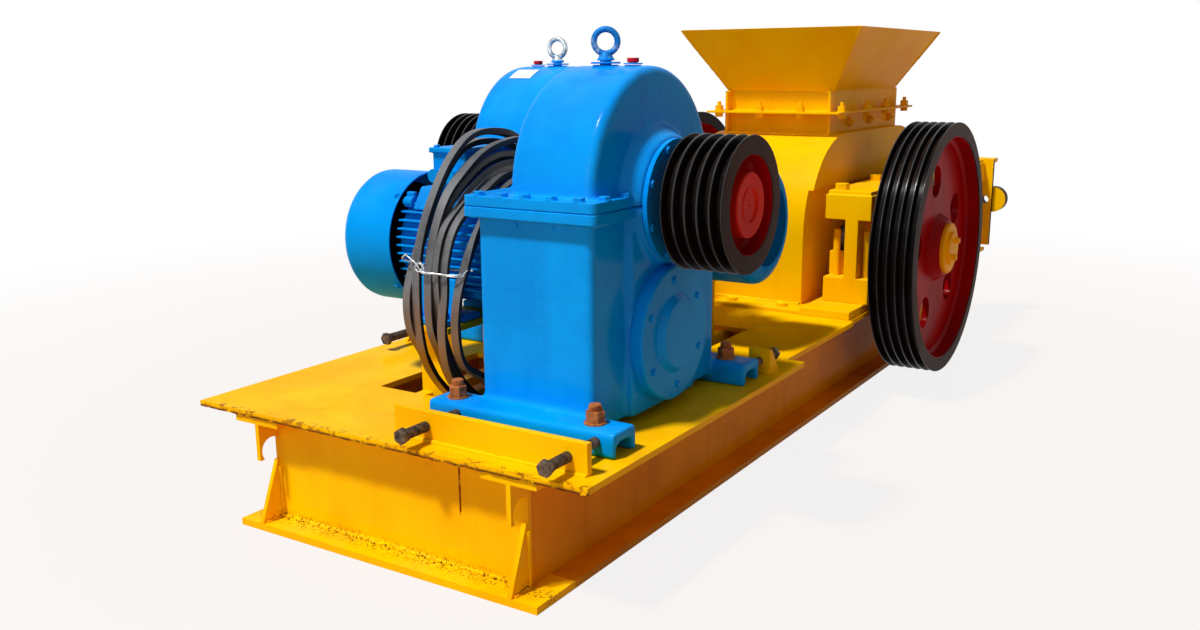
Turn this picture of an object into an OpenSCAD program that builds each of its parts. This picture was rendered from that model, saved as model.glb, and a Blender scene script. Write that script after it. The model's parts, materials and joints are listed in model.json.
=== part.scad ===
// Double roll crusher on its skid: two motors with gearboxes, V-belt pulleys,
// two crushing rolls in a welded housing, and the feed hopper.
// Millimetres, +Z up. The origin is the middle of the underside of the skid.
// X runs from the drive end (negative) to the crusher end, +Y is the far side.

/* [Skid] */
// Length of the skid along X
skid_l = 2360; // [2300:10:2600]
// Width of the deck plate
deck_w = 800; // [780:10:900]
// Thickness of the deck plate
deck_t = 10; // [6:1:14]
// Height of the rolled beams
beam_h = 200; // [180:5:240]
// Width of the beam flanges
beam_b = 100; // [90:2:116]
// Web thickness of the beams
beam_web = 8; // [6:0.5:10]
// Flange thickness of the beams
beam_flange = 12; // [9:0.5:14]
// Distance from the skid's centre line to each side beam's web
beam_y = 263; // [250:1:280]
// Distance from the deck's end to the end beam's web
end_inset = 48; // [44:1:60]
// How far the deck's edge steps in beside each large pulley
deck_step = 45; // [40:1:48]
// Width of the belt opening on each side of a gearbox axis
opening_half = 140; // [134:1:142]
// How far a side beam's web hangs below the deck in front of an end beam
stub_drop = 64; // [50:1:80]
// Height of the gussets on the end beams
gusset_h = 104; // [90:1:120]

/* [Drives] */
// Distance from the drive end of the deck to the first gearbox axis
drive_inset = 366; // [360:1:372]
// Distance between the axes of the two gearboxes along X
drive_pitch = 461; // [458:1:480]
// Distance from the centre line to the middle of each gearbox
gearbox_y = 199; // [196:1:204]
// Half width of a gearbox case along X
case_half = 203; // [190:1:206]
// Depth of a gearbox case along Y
case_depth = 212; // [200:1:214]
// Height of the output shaft above the deck
output_z = 351; // [340:1:360]
// Outer radius of the gearbox dome
dome_r = 190; // [180:1:196]
// Height of the dome's centre above the output shaft
dome_rise = 20; // [14:1:24]
// Depth of the dome along Y
dome_depth = 154; // [140:1:160]
// Distance from the near face of the case to the dome
dome_back = 5; // [3:1:12]
// Rounding of the dome's edges
dome_round = 14; // [8:1:20]
// Thickness of each split flange
flange_t = 16; // [12:1:20]
// Radius of the output bearing's flange
boss_r = 100; // [92:1:102]
// Radius of the upper boss where it leaves the dome
boss_root_r = 119; // [110:1:124]
// How far the near boss stands out of the case
boss_out = 25; // [20:1:30]
// Overhang of the split flange beyond the case
flange_over = 15; // [12:1:20]
// Height of the lower shaft above the deck
lower_shaft_z = 135; // [130:1:138]
// Gap between a gearbox foot and its jack bar
jack_gap = 62; // [56:1:63]
// Height of the gearbox feet
foot_h = 40; // [34:1:48]
// Width of a gearbox foot along X
foot_w = 66; // [60:1:66]
// Length of a gearbox foot along Y
foot_l = 353; // [330:1:370]
// Distance from the shaft axis to the outboard foot
foot_out = 221; // [220:1:226]
// Distance from the shaft axis to the inboard foot
foot_in = 221; // [220:1:226]

/* [Motors] */
// Height of the motor axis above the deck
motor_z = 254; // [250:1:258]
// Radius of the motor's fin tips
motor_r = 106; // [100:1:110]
// Length of the finned motor frame
motor_l = 216; // [200:1:220]
// Outer radius of the fan cover
fan_r = 121; // [117:1:123]
// Length of the fan cover
fan_l = 124; // [110:2:130]
// Height of the motor axis above its feet
motor_centre_h = 132; // [126:1:136]
// Half width of the motor's feet along X
motor_foot_half = 126; // [120:1:132]
// Height of the terminal box without its lid
terminal_h = 62; // [50:1:64]

/* [Pulleys] */
// Number of belt grooves
grooves = 5; // [4:1:5]
// Distance between belt grooves
groove_pitch = 20.3; // [19.5:0.1:21]
// Outer radius of the small pulleys
drive_pulley_r = 107; // [100:1:110]
// Outer radius of the large pulleys
driven_pulley_r = 300; // [280:1:304]
// Distance from the centre line to the middle of each small pulley
pulley_y = 416; // [414:0.5:424]
// How much farther out the large pulleys sit than the small ones
driven_out = 8; // [6:0.5:12]
// How far a large pulley's hub cap stands out of its rim
cap_proud = 8; // [4:1:14]
// Radius of the gearbox output shafts
output_shaft_r = 28; // [24:1:32]
// Radius of the roll shafts at the bearings
roll_shaft_r = 32; // [28:1:36]

/* [Belts] */
// Radius of each hung belt loop, to its back
belt_loop_r = 239; // [234:1:240]
// Distance that a bundle of belts hangs towards its own end of the skid
belt_shift = 9; // [6:1:9]
// Width of a belt
belt_w = 17; // [14:0.5:18]
// Height of a belt's section
belt_h = 11; // [8:0.5:13]

/* [Crusher] */
// Distance from the drive end of the deck to the middle of the crusher
crusher_inset = 1662; // [1655:1:1680]
// How far the crusher sits to the near side of the centre line
crusher_y = -52; // [-56:1:-48]
// Distance between the two roll axes
roll_pitch = 324; // [322:1:332]
// Radius of the crushing rolls
roll_r = 158; // [150:1:158]
// Length of the crushing rolls
roll_l = 250; // [220:5:256]
// Height of the roll axes above the deck
roll_z = 126; // [124:1:130]
// Width of the housing across its side plates
housing_w = 306; // [300:1:312]
// Wall thickness of the housing
housing_t = 10; // [8:1:12]
// Height of the housing above the deck
housing_h = 396; // [390:1:404]
// Radius of the housing's top corners
housing_r = 225; // [215:1:232]
// Distance from the crusher's middle to each top corner's centre
housing_c = 208; // [206:1:212]
// Height above the deck of the side plates' thicker upper part
side_plate_z = 275; // [262:1:290]
// How far the foot plate runs on beyond each end of the housing
foot_end = 67; // [60:1:68]
// Length of the throat along X
throat_l = 508; // [480:2:516]
// Width of the throat along Y
throat_w = 279; // [270:1:282]
// Height of each throat box
throat_h = 48; // [44:1:56]
// Thickness of the throat and hopper sheet
sheet_t = 5; // [4:0.5:8]
// Overhang of the throat's flange plates
throat_over = 36; // [30:1:40]
// Length of the hopper mouth along X
hopper_l = 644; // [620:2:700]
// Width of the hopper mouth along Y
hopper_w = 464; // [440:2:500]
// Height of the flared hopper
hopper_h = 150; // [130:2:180]

/* [Bearing frames] */
// Distance from the crusher's middle to each bearing frame's centre
rail_y = 250.5; // [249:0.5:254]
// Width of the bearing rails
rail_w = 109; // [104:1:112]
// Height of the lower rail
rail_low_h = 58; // [52:1:62]
// Height of the upper rail
rail_top_h = 57; // [52:1:64]
// Gap between the rails
rail_gap = 136; // [132:1:142]
// Distance from the crusher's middle to the rails' drive end
rail_front = 408; // [400:1:420]
// Distance from the crusher's middle to the rails' spring end
rail_back = 628; // [600:1:640]
// Thickness of the pads under the rails
pad_t = 18; // [14:1:20]

/* [Hidden] */

fit = 0.05;
run_gap = 8;
$fn = 64;

// Places along X and Z that the pieces share
drive_end = -skid_l / 2;
deck_z = beam_h + deck_t;
drive_x = drive_end + drive_inset;
drive_x2 = drive_x + drive_pitch;
shaft_z = deck_z + output_z;
crusher_x = drive_end + crusher_inset;
roll_axis_z = deck_z + roll_z;
pulley_w = (grooves - 1) * groove_pitch + 22;
foot_bolt_near = 52 - foot_l / 2;
foot_bolt_far = foot_l / 2 - 38;
foot_hole_r = 9;
jack_y_near = 30 - foot_l / 2;
jack_y_far = foot_l / 2 - 62;
eye_y = -gearbox_y - 6;
plug_y = eye_y - 51;
motor_foot_y = 44;
motor_foot_l = 90;
driven_y = pulley_y + driven_out;
hub_bore_end = 20;
discharge_l = roll_pitch + 2 * roll_r - 80;
discharge_w = roll_l + 14;
motor_axis_z = deck_z + motor_z;
stool_h = motor_z - motor_centre_h;
coupling_l = 49;
motor_back = case_depth / 2 - gearbox_y + coupling_l;
fan_front = motor_back + motor_l;
opening_near = -64;
opening_far = 191;
foot_y = -20 - foot_l / 2;
case_near = -gearbox_y - case_depth / 2;
case_far = case_near + case_depth;
dome_near = case_near + dome_back;
dome_z = shaft_z + dome_rise;
foot_t = 8;
stud_x = [35, rail_front + rail_back - 35];
stud_y = [-36, 36];
cap_out = 8;
far_boss_out = 12;
column_out = 12;
seat_r = 58;
bar_t = 12;
bar_h = 49;
bar_bolt_out = 50;
bracket_bolt_out = [60, 112];

// Turns a drive half about the point between the two drives for the second drive.
module drive(n) {
    if (n == 1)
        translate([drive_x, 0, 0]) children();
    else
        translate([drive_x2, 0, 0]) rotate([0, 0, 180]) children();
}

// A cylinder along +Y from y = 0.
module rod_y(r, l, f = 64) {
    rotate([-90, 0, 0]) cylinder(r = r, h = l, $fn = f);
}

// A ring profile turned about the Y axis, drawn as [radius, y].
module turned_y(points, f = 96) {
    rotate([-90, 0, 0]) rotate_extrude($fn = f) polygon(points);
}

// A hexagonal screw head or nut on +Z.
module hex(af, h) {
    cylinder(r = af / sqrt(3), h = h, $fn = 6);
}

// A box centred in X and Y on z = 0.
module block(l, w, h) {
    translate([-l / 2, -w / 2, 0]) cube([l, w, h]);
}

// A rectangle with round corners, centred.
module round_rect(l, w, r) {
    union() {
        square([l - 2 * r, w], center = true);
        square([l, w - 2 * r], center = true);
        for (sx = [-1, 1], sy = [-1, 1])
            translate([sx * (l / 2 - r), sy * (w / 2 - r)]) circle(r = r, $fn = 32);
    }
}

// ---- Skid ----

// An I-section along X from x0 to x1, centred on y = 0.
module beam_x(x0, x1) {
    translate([x0, -beam_b / 2, 0]) cube([x1 - x0, beam_b, beam_flange]);
    translate([x0, -beam_b / 2, beam_h - beam_flange]) cube([x1 - x0, beam_b, beam_flange]);
    translate([x0, -beam_web / 2, 0]) cube([x1 - x0, beam_web, beam_h]);
}

// A side beam: its web and top flange run on to the end beams' webs.
module side_beam(side) {
    full = skid_l / 2 - end_inset - beam_b / 2;
    reach = skid_l / 2 - end_inset - beam_web / 2;
    color("gold") translate([0, side * beam_y, 0]) union() {
        beam_x(-full, full);
        translate([-reach, -beam_web / 2, beam_flange])
            cube([2 * reach, beam_web, beam_h - beam_flange]);
        translate([-reach, -beam_b / 2, beam_h - beam_flange])
            cube([2 * reach, beam_b, beam_flange]);
    }
}

// An end beam: a full-height web on a wide bottom flange, with the ends of the
// side beams' top flanges and coped webs in front of it, and two gussets.
module end_beam(side) {
    span = 2 * beam_y + beam_b;
    web_span = 2 * beam_y + beam_web;
    front = beam_web / 2;
    stub = end_inset - front - 3;
    rib_foot = beam_b / 2 - front;
    color("gold") translate([side * (skid_l / 2 - end_inset), 0, 0]) union() {
        block(beam_b, span, beam_flange);
        block(beam_web, web_span, beam_h);
        translate([-side * (beam_b / 4 + front / 2), 0, beam_h - beam_flange])
            block(beam_b / 2 - front + 1, 2 * beam_y - beam_b, beam_flange);
        for (y = [-beam_y, beam_y]) {
            translate([side * (front + stub / 2), y, beam_h - beam_flange])
                block(stub, beam_b, beam_flange);
            translate([side * front, y + beam_web / 2, 0]) rotate([90, 0, 0])
                linear_extrude(beam_web) difference() {
                    polygon([[0, beam_h - 1], [side * stub, beam_h - 1],
                        [side * stub, beam_h - beam_flange - stub_drop],
                        [side * (stub - 9), beam_h - beam_flange - stub_drop],
                        [0, beam_h - beam_flange - stub_drop * 0.45]]);
                    translate([side * stub * 0.36, beam_h - beam_flange - stub_drop * 0.78])
                        circle(r = stub_drop * 0.34);
                }
            translate([side * front, y + beam_web / 2, beam_flange]) rotate([90, 0, 0])
                linear_extrude(beam_web)
                    polygon([[0, 0], [side * rib_foot, 0], [side * 5, gusset_h], [0, gusset_h]]);
        }
    }
}

// The cross beams between the side beams.
module cross_beams() {
    flange_span = 2 * beam_y - beam_b;
    web_span = 2 * beam_y - beam_web;
    // The last beam stands beyond the rolls, and clear of the end beam
    beyond = crusher_x + discharge_l / 2 + 60;
    last = skid_l / 2 - end_inset - beam_b - 20;
    color("gold") for (x = [(drive_x + drive_x2) / 2, 0, min(beyond, last)])
        translate([x, 0, 0]) union() {
            block(beam_b, flange_span, beam_flange);
            translate([0, 0, beam_h - beam_flange]) block(beam_b, flange_span, beam_flange);
            translate([0, 0, beam_flange]) block(beam_web, web_span, beam_h - 2 * beam_flange);
        }
}

// The deck plate with its stepped edges, belt openings and discharge opening.
module deck_plate() {
    step_1 = drive_x2 - 54;
    step_2 = crusher_x - 512;
    trim_1 = deck_step - 8;
    color("gold") difference() {
        translate([drive_end, -deck_w / 2, beam_h]) cube([skid_l, deck_w, deck_t]);
        // The near edge steps in twice, the far edge once
        translate([step_1, -deck_w / 2 - 1, beam_h - 1]) cube([skid_l, trim_1 + 1, deck_t + 2]);
        translate([step_2, -deck_w / 2 - 1, beam_h - 1]) cube([skid_l, deck_step + 1, deck_t + 2]);
        translate([crusher_x - 180, deck_w / 2 - deck_step, beam_h - 1])
            cube([skid_l, deck_step + 1, deck_t + 2]);
        for (n = [1, 2]) drive(n)
            translate([-opening_half, opening_near, beam_h - 1])
                cube([2 * opening_half, opening_far - opening_near, deck_t + 2]);
        translate([crusher_x, crusher_y, beam_h - 1]) block(discharge_l, discharge_w, deck_t + 2);
    }
}

// ---- Gearboxes, built for drive 1 with the shaft axis at x = 0 ----

module foot_profile() {
    difference() {
        union() {
            translate([-foot_w / 2, 0]) square([foot_w, foot_h - 8]);
            translate([-foot_w / 2 + 8, 0]) square([foot_w - 16, foot_h]);
            for (s = [-1, 1]) translate([s * (foot_w / 2 - 8), foot_h - 8]) circle(r = 8, $fn = 32);
        }
        translate([-22, -1]) square([44, 15]);
        translate([-14, -1]) square([28, 23]);
        for (s = [-1, 1]) translate([s * 14, 14]) circle(r = 8, $fn = 32);
    }
}

module split_flange() {
    translate([0, -gearbox_y, 0])
        linear_extrude(flange_t)
            round_rect(2 * (case_half + flange_over), case_depth + 2 * flange_over, 10);
}

// Boss of the output bearing on both faces, in the shape of one half of the case.
module output_bosses(root_r) {
    translate([0, case_near, shaft_z]) {
        turned_y([[0, -boss_out], [boss_r, -boss_out], [root_r, 0], [root_r, 30], [0, 30]]);
        rod_y(boss_r, case_depth + far_boss_out, 96);
    }
}

// Seat of the output bearing, open on the near side.
module output_seat() {
    translate([0, case_near - boss_out - 1, shaft_z]) rod_y(seat_r, 110);
}

module gearbox_case(n) {
    foot_x = [-foot_out, foot_in];
    color("dodgerblue") drive(n) difference() {
        union() {
            translate([0, -gearbox_y, deck_z + 14])
                linear_extrude(output_z - 14) round_rect(2 * case_half, case_depth, 10);
            translate([0, 0, shaft_z - flange_t]) split_flange();
            for (x = foot_x)
                translate([x, foot_y + foot_l / 2, deck_z])
                    rotate([90, 0, 0]) linear_extrude(foot_l) foot_profile();
            output_bosses(boss_r + 1);
            // Column that joins the two bearings on the near face
            translate([-106, case_near - column_out, deck_z + 14])
                cube([212, column_out + 20, output_z - flange_t - 14]);
        }
        // The bosses stop at the split, where the cover takes over
        translate([-2 * boss_r, case_near - 2 * boss_out, shaft_z])
            cube([4 * boss_r, case_depth + 4 * boss_out, 2 * boss_r]);
        output_seat();
        // Foundation bolt holes
        for (x = foot_x, y = [foot_bolt_near, foot_bolt_far])
            translate([x, foot_y + y, deck_z - 1]) cylinder(r = foot_hole_r, h = foot_h + 2);
    }
}

// The cover: a barrel along Y with rounded edges on the split flange.
module gearbox_cover(n) {
    d = dome_depth;
    r = dome_r;
    q = dome_round;
    color("dodgerblue") drive(n) difference() {
        union() {
            translate([0, 0, shaft_z]) split_flange();
            translate([0, dome_near, dome_z]) rotate([-90, 0, 0]) rotate_extrude($fn = 128)
                union() {
                    square([r - q, d]);
                    translate([0, q]) square([r, d - 2 * q]);
                    for (y = [q, d - q]) intersection() {
                        translate([r - q, y]) circle(r = q, $fn = 48);
                        square([r, d]);
                    }
                }
            translate([-r, dome_near + q, shaft_z]) cube([2 * r, d - 2 * q, dome_rise]);
            output_bosses(boss_root_r);
        }
        translate([-2 * dome_r, case_near - 2 * boss_out, shaft_z - 2 * dome_r])
            cube([4 * dome_r, case_depth + 4 * boss_out, 2 * dome_r]);
        output_seat();
        // Threads of the lifting eye and the breather
        for (y = [eye_y, plug_y])
            translate([0, y, dome_z + r - 30]) cylinder(r = 8, h = 40);
    }
}

// The output bearing cover with its running bore, and the lower round cover.
module bearing_caps(n) {
    face = case_near - boss_out;
    lower_face = case_near - column_out;
    color("dodgerblue") drive(n) {
        translate([0, 0, shaft_z]) difference() {
            union() {
                translate([0, face - cap_out, 0]) rod_y(boss_r - 2, cap_out, 96);
                translate([0, face, 0]) rod_y(seat_r - fit, 80);
            }
            translate([0, face - cap_out - 1, 0]) rod_y(output_shaft_r + fit, 100);
        }
        translate([0, lower_face, deck_z + lower_shaft_z])
            turned_y([[0, -32], [56, -32], [60, -28], [66, -21], [108, -21], [111, -18], [111, 0], [0, 0]]);
    }
}

// A round pad that sits on the ridge of the dome, with its thread below.
module ridge_pad(r, h) {
    top = dome_z + dome_r;
    dip = 4;
    translate([0, 0, top - 26]) cylinder(r = 8 - fit, h = 26 + h);
    difference() {
        translate([0, 0, top - dip]) cylinder(r = r, h = dip + h);
        translate([0, -60, dome_z]) rod_y(dome_r, 120, 128);
    }
}

// Lifting eye and breather on the ridge of the dome.
module lifting_eye(n) {
    top = dome_z + dome_r;
    pad_h = 6;
    eye_r = 19;
    wire_r = 5;
    foot_top = top + pad_h + 7;
    color("lightsteelblue") drive(n) {
        translate([0, eye_y, 0]) {
            ridge_pad(24, pad_h);
            translate([0, 0, top + pad_h]) cylinder(r = 13, h = 7);
            translate([0, 0, foot_top]) cylinder(r1 = 11, r2 = 6, h = 5);
            translate([0, 0, foot_top + eye_r + wire_r - 1]) rotate([90, 0, 90])
                rotate_extrude($fn = 48) translate([eye_r, 0]) circle(r = wire_r, $fn = 24);
        }
        translate([0, plug_y, 0]) {
            ridge_pad(14, pad_h - 2);
            translate([0, 0, top + pad_h - 2]) cylinder(r = 10, h = 8);
        }
    }
}

// Jack bar in front of the outboard foot and the bracket behind the inboard foot.
module jack_plates(n) {
    bar_x = -foot_out - foot_w / 2 - jack_gap - bar_t;
    bracket_x = foot_in + foot_w / 2 + jack_gap / 2;
    bolt_z = deck_z + bar_h / 2;
    bracket_l = jack_gap / 2 + bracket_bolt_out[n - 1];
    color("gold") drive(n) {
        difference() {
            translate([bar_x, foot_y - foot_l / 2 - 3, deck_z]) cube([bar_t, foot_l + 6, bar_h]);
            for (y = [jack_y_near, jack_y_far])
                translate([bar_x - 1, foot_y + y, bolt_z]) rotate([0, 90, 0])
                    cylinder(r = 8 + fit, h = bar_t + 2);
        }
        for (y = [jack_y_near, jack_y_far])
            translate([bar_x - bar_bolt_out, foot_y + y, bolt_z]) rotate([0, 90, 0]) {
                cylinder(r = 8, h = bar_bolt_out + bar_t + jack_gap - fit);
                translate([0, 0, -10]) hex(24, 10);
            }
        translate([bracket_x, foot_y - foot_l / 2 - 8, deck_z]) {
            difference() {
                cube([10, 44, bar_h]);
                translate([-1, 22, bar_h / 2]) rotate([0, 90, 0]) cylinder(r = 8 + fit, h = 12);
            }
            for (y = [0, 36]) translate([10, y + 8, 0]) rotate([90, 0, 0])
                linear_extrude(8) polygon([[0, 0], [32, 0], [0, 44]]);
            translate([-jack_gap / 2 + fit, 22, bar_h / 2]) rotate([0, 90, 0]) {
                cylinder(r = 8, h = bracket_l);
                translate([0, 0, bracket_l]) hex(24, 10);
            }
        }
    }
}

// ---- Motors, built for drive 1 with the motor axis at x = 0 ----

// Frame with cooling fins, drive-end shield and feet.
module motor_frame(n) {
    core_r = motor_r - 14;
    fins = 7;
    foot_0 = motor_foot_y - motor_back;
    foot_len = motor_foot_l;
    foot_thick = 12;
    color("dodgerblue") drive(n) translate([0, motor_back, motor_axis_z]) {
        difference() {
            union() {
                rod_y(core_r, motor_l);
                rod_y(motor_r - 4, 16);
                translate([0, motor_l - 16, 0]) rod_y(motor_r - 4, 16);
                translate([0, motor_l - 8, 0]) rotate([90, 0, 0]) linear_extrude(motor_l - 16)
                    intersection() {
                        circle(r = motor_r, $fn = 96);
                        union() {
                            for (i = [-fins : fins])
                                translate([-motor_r, i * 11 - 1.5]) square([2 * motor_r, 3]);
                            for (i = [-4 : 4])
                                translate([i * 11 - 1.5, -motor_r]) square([3, 2 * motor_r]);
                        }
                    }
                // Foot pads and their legs
                for (s = [-1, 1]) {
                    translate([s * (motor_foot_half + 30) / 2, foot_0 + foot_len / 2, -motor_centre_h])
                        block(motor_foot_half - 30, foot_len, foot_thick);
                    translate([s * 88, foot_0 + foot_len / 2, -motor_centre_h]) block(16, foot_len, 80);
                }
            }
            for (s = [-1, 1], y = [14, foot_len - 14])
                translate([s * (motor_foot_half - 12), foot_0 + y, -motor_centre_h - 1])
                    cylinder(r = 6, h = foot_thick + 2);
        }
    }
}

// The fan cover: a drum open towards the frame, domed and pierced at its outer end.
module fan_cover(n) {
    wall = 3;
    dish = 26;
    color("dodgerblue") drive(n) translate([0, fan_front, motor_axis_z]) {
        turned_y([[fan_r - wall, 8], [fan_r, 8], [fan_r, fan_l - dish], [fan_r - 6, fan_l - dish + 12],
            [fan_r - 22, fan_l - 6], [fan_r - 34, fan_l], [24, fan_l], [24, fan_l - wall],
            [fan_r - 35, fan_l - wall], [fan_r - 24, fan_l - 9], [fan_r - 9, fan_l - dish + 10],
            [fan_r - wall, fan_l - dish]]);
        rod_y(24, fan_l);
    }
}

// Terminal box on top of the motor, with its lid and two cable glands.
module terminal_box(n) {
    h = terminal_h;
    l = 130;
    w = 74;
    base_z = motor_axis_z + motor_r - 6;
    color("dodgerblue") drive(n)
        translate([0, 74, base_z]) {
            difference() {
                block(l, w, h);
                translate([0, -w, motor_axis_z - base_z]) rod_y(motor_r, 2 * w, 96);
            }
            translate([0, 0, h]) block(l + 12, w + 8, 9);
            for (y = [-17, 17]) translate([-l / 2, y, 24]) rotate([0, -90, 0])
                cylinder(r = 12, h = 24);
        }
}

// Welded stool that carries the motor: a plate on two legs that stand in the deck
// opening, on two bearers under the deck.
module motor_stool(n) {
    top_t = 12;
    leg_t = 10;
    leg_x = 84;
    bearer = 24;
    len = motor_foot_l + 8;
    leg_y = motor_foot_y + 2;
    leg_len = len - 12;
    low = beam_h - bearer;
    color("gold") drive(n) union() {
        translate([0, motor_foot_y - 4 + len / 2, deck_z + stool_h - top_t])
            block(2 * motor_foot_half, len, top_t);
        for (s = [-1, 1]) translate([s * (leg_x + leg_t / 2), leg_y + leg_len / 2, low])
            block(leg_t, leg_len, deck_z + stool_h - top_t - low);
        for (y = [leg_y, leg_y + leg_len - bearer])
            translate([0, y + bearer / 2, low]) block(2 * (opening_half + 35), bearer, bearer);
    }
}

// Fixed guard round the coupling between motor and gearbox.
module coupling_guard(n) {
    color("dodgerblue") drive(n)
        translate([0, case_far + far_boss_out, motor_axis_z])
            rod_y(64, motor_back - case_far - far_boss_out);
}

// ---- Pulleys ----

// Grooved rim outline on the outer side, as [radius, y], from y = 0 to the rim width.
function groove_points(r) = [
    for (i = [0 : grooves - 1], p = [[-9, 0], [-6, 15], [6, 15], [9, 0]])
        [r - p[1], 11 + i * groove_pitch + p[0]]
];

// A grooved rim with plain faces at y = 0 and y = pulley_w, down to an inner radius.
function rim_points(r, inner) = concat([[inner, 0], [r, 0]], groove_points(r),
    [[r, pulley_w], [inner, pulley_w]]);

module drive_pulley(n) {
    hub_r = 52;
    dish_r = 79;
    dish = 30;
    r = drive_pulley_r;
    y0 = -pulley_y - pulley_w / 2;
    shaft_end = case_near - boss_out + 70;
    color("dimgray") drive(n) translate([0, y0, shaft_z])
        difference() {
            union() {
                turned_y(rim_points(r, 0));
                rod_y(output_shaft_r, shaft_end - y0);
            }
            // Dished outer face round the hub
            turned_y([[hub_r, -1], [dish_r, -1], [dish_r, dish], [hub_r, dish]]);
            turned_y([[0, -1], [hub_r + 1, -1], [hub_r + 1, 4], [0, 4]]);
        }
}

module driven_pulley(n) {
    r = driven_pulley_r;
    rim_in = r - 35;
    web_t = 16;
    web_y = 35;
    hub_r = 66;
    cap_r = 61;
    nose_r = 40;
    step = 8;
    bore_r = roll_shaft_r + fit;
    holes = 5;
    hole_r = 38;
    hole_at = 165;
    first_hole = 28.8;
    axis_x = crusher_x + (n == 1 ? -1 : 1) * roll_pitch / 2;
    side = n == 1 ? 1 : -1;
    color("dimgray") translate([axis_x, -side * driven_y, roll_axis_z])
        rotate([0, 0, n == 1 ? 0 : 180]) translate([0, -pulley_w / 2, 0]) difference() {
            union() {
                turned_y(rim_points(r, rim_in), 128);
                turned_y([[bore_r, web_y], [rim_in + 1, web_y], [rim_in + 1, web_y + web_t],
                    [hub_r, web_y + web_t], [hub_r, pulley_w], [bore_r, pulley_w]]);
                // Stepped hub cap over the shaft end
                turned_y([[0, -cap_proud], [nose_r, -cap_proud], [nose_r, step - cap_proud],
                    [cap_r, step - cap_proud], [cap_r, web_y + 1], [bore_r, web_y + 1],
                    [bore_r, hub_bore_end], [0, hub_bore_end]]);
            }
            for (i = [0 : holes - 1]) rotate([0, -first_hole - i * 360 / holes, 0])
                translate([hole_at, web_y - 1, 0]) rod_y(hole_r, web_t + 2);
        }
}

// ---- Belts: closed loops hung round the motor, standing on the edge of the opening ----

// One loop that leans by an angle from the point where it stands on the deck.
module belt_loop(y, lean) {
    rest_r = belt_loop_r + 0.3 + belt_w / 2 * abs(sin(lean));
    centre = sqrt(pow(rest_r, 2) - pow(opening_half - belt_shift, 2));
    half = belt_w / 2;
    translate([-belt_shift, y, deck_z]) rotate([-lean, 0, 0]) translate([0, 0, centre])
        turned_y([[belt_loop_r - belt_h, 3 - half], [belt_loop_r, -half],
            [belt_loop_r, half], [belt_loop_r - belt_h, half - 3]], 128);
}

module belt_loops(n) {
    pitch = belt_w + 1.8;
    first = opening_near + 1 + belt_w / 2;
    color("black") drive(n) {
        for (i = [0 : grooves - 2]) belt_loop(first + i * pitch, -1.5);
        belt_loop(first + (grooves - 1) * pitch + 2, 0);
    }
}

// ---- Crusher ----

// Outline of the housing in X and Z, grown inwards by a wall.
module housing_profile(wall) {
    r = housing_r - wall;
    zc = housing_h - housing_r;
    intersection() {
        union() {
            for (s = [-1, 1]) translate([s * housing_c, zc]) circle(r = r, $fn = 128);
            translate([-housing_c, 0]) square([2 * housing_c, zc + r]);
            translate([-housing_c - r, 0]) square([2 * (housing_c + r), zc]);
        }
        translate([-600, 0]) square([1200, 600]);
    }
}

module in_crusher() {
    translate([crusher_x, crusher_y, deck_z]) children();
}

module crusher_housing() {
    w = housing_w;
    t = housing_t;
    raised = 12;
    color("gold") in_crusher() difference() {
        union() {
            translate([0, w / 2, 0]) rotate([90, 0, 0]) linear_extrude(w) difference() {
                housing_profile(0);
                translate([-600, 0]) square([1200, foot_t]);
            }
            // The upper part of the side plates stands proud
            translate([0, w / 2 + raised, 0]) rotate([90, 0, 0]) linear_extrude(w + 2 * raised)
                intersection() {
                    housing_profile(0);
                    translate([-600, side_plate_z]) square([1200, 400]);
                }
        }
        translate([0, w / 2 - t, 0]) rotate([90, 0, 0]) linear_extrude(w - 2 * t)
            housing_profile(t);
        // Open top under the throat
        translate([0, 0, housing_h - 60]) block(throat_l - 2 * sheet_t, throat_w - 2 * sheet_t, 80);
        // Shaft openings
        for (s = [-1, 1]) translate([s * roll_pitch / 2, -w, roll_z])
            rod_y(roll_shaft_r + run_gap, 2 * w);
    }
}

// Foot flange of the housing, open over the discharge.
module housing_foot() {
    color("gold") in_crusher() difference() {
        block(2 * (housing_c + housing_r + foot_end), housing_w + 50, foot_t);
        translate([0, 0, -1]) block(discharge_l, discharge_w, foot_t + 2);
    }
}

// Two stacked throat boxes with a flange plate between them; the lower one's walls
// run down to the housing's curved top.
module throat_box() {
    t = sheet_t;
    drop = 20;
    color("gold") in_crusher() difference() {
        union() {
            translate([0, 0, housing_h - drop]) block(throat_l, throat_w, drop + 2 * throat_h + 5);
            translate([0, 0, housing_h + throat_h])
                block(throat_l + 2 * throat_over, throat_w + 2 * throat_over, 5);
        }
        translate([0, 0, housing_h - drop - 1])
            block(throat_l - 2 * t, throat_w - 2 * t, drop + 2 * throat_h + 7);
        translate([0, throat_w / 2 + 1, 0]) rotate([90, 0, 0]) linear_extrude(throat_w + 2)
            housing_profile(0);
    }
}

// One wall of the flared hopper, drawn at the -X side: a sheet from the throat to the mouth.
module hopper_wall(low_run, high_run, low_off, high_off, h) {
    polyhedron(
        points = [
            [-low_off, -low_run / 2, 0], [-low_off, low_run / 2, 0],
            [-low_off + sheet_t, low_run / 2 - sheet_t, 0], [-low_off + sheet_t, -low_run / 2 + sheet_t, 0],
            [-high_off, -high_run / 2, h], [-high_off, high_run / 2, h],
            [-high_off + sheet_t, high_run / 2 - sheet_t, h], [-high_off + sheet_t, -high_run / 2 + sheet_t, h]
        ],
        faces = [[0, 1, 2, 3], [7, 6, 5, 4], [0, 4, 5, 1], [1, 5, 6, 2], [2, 6, 7, 3], [3, 7, 4, 0]]
    );
}

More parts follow.
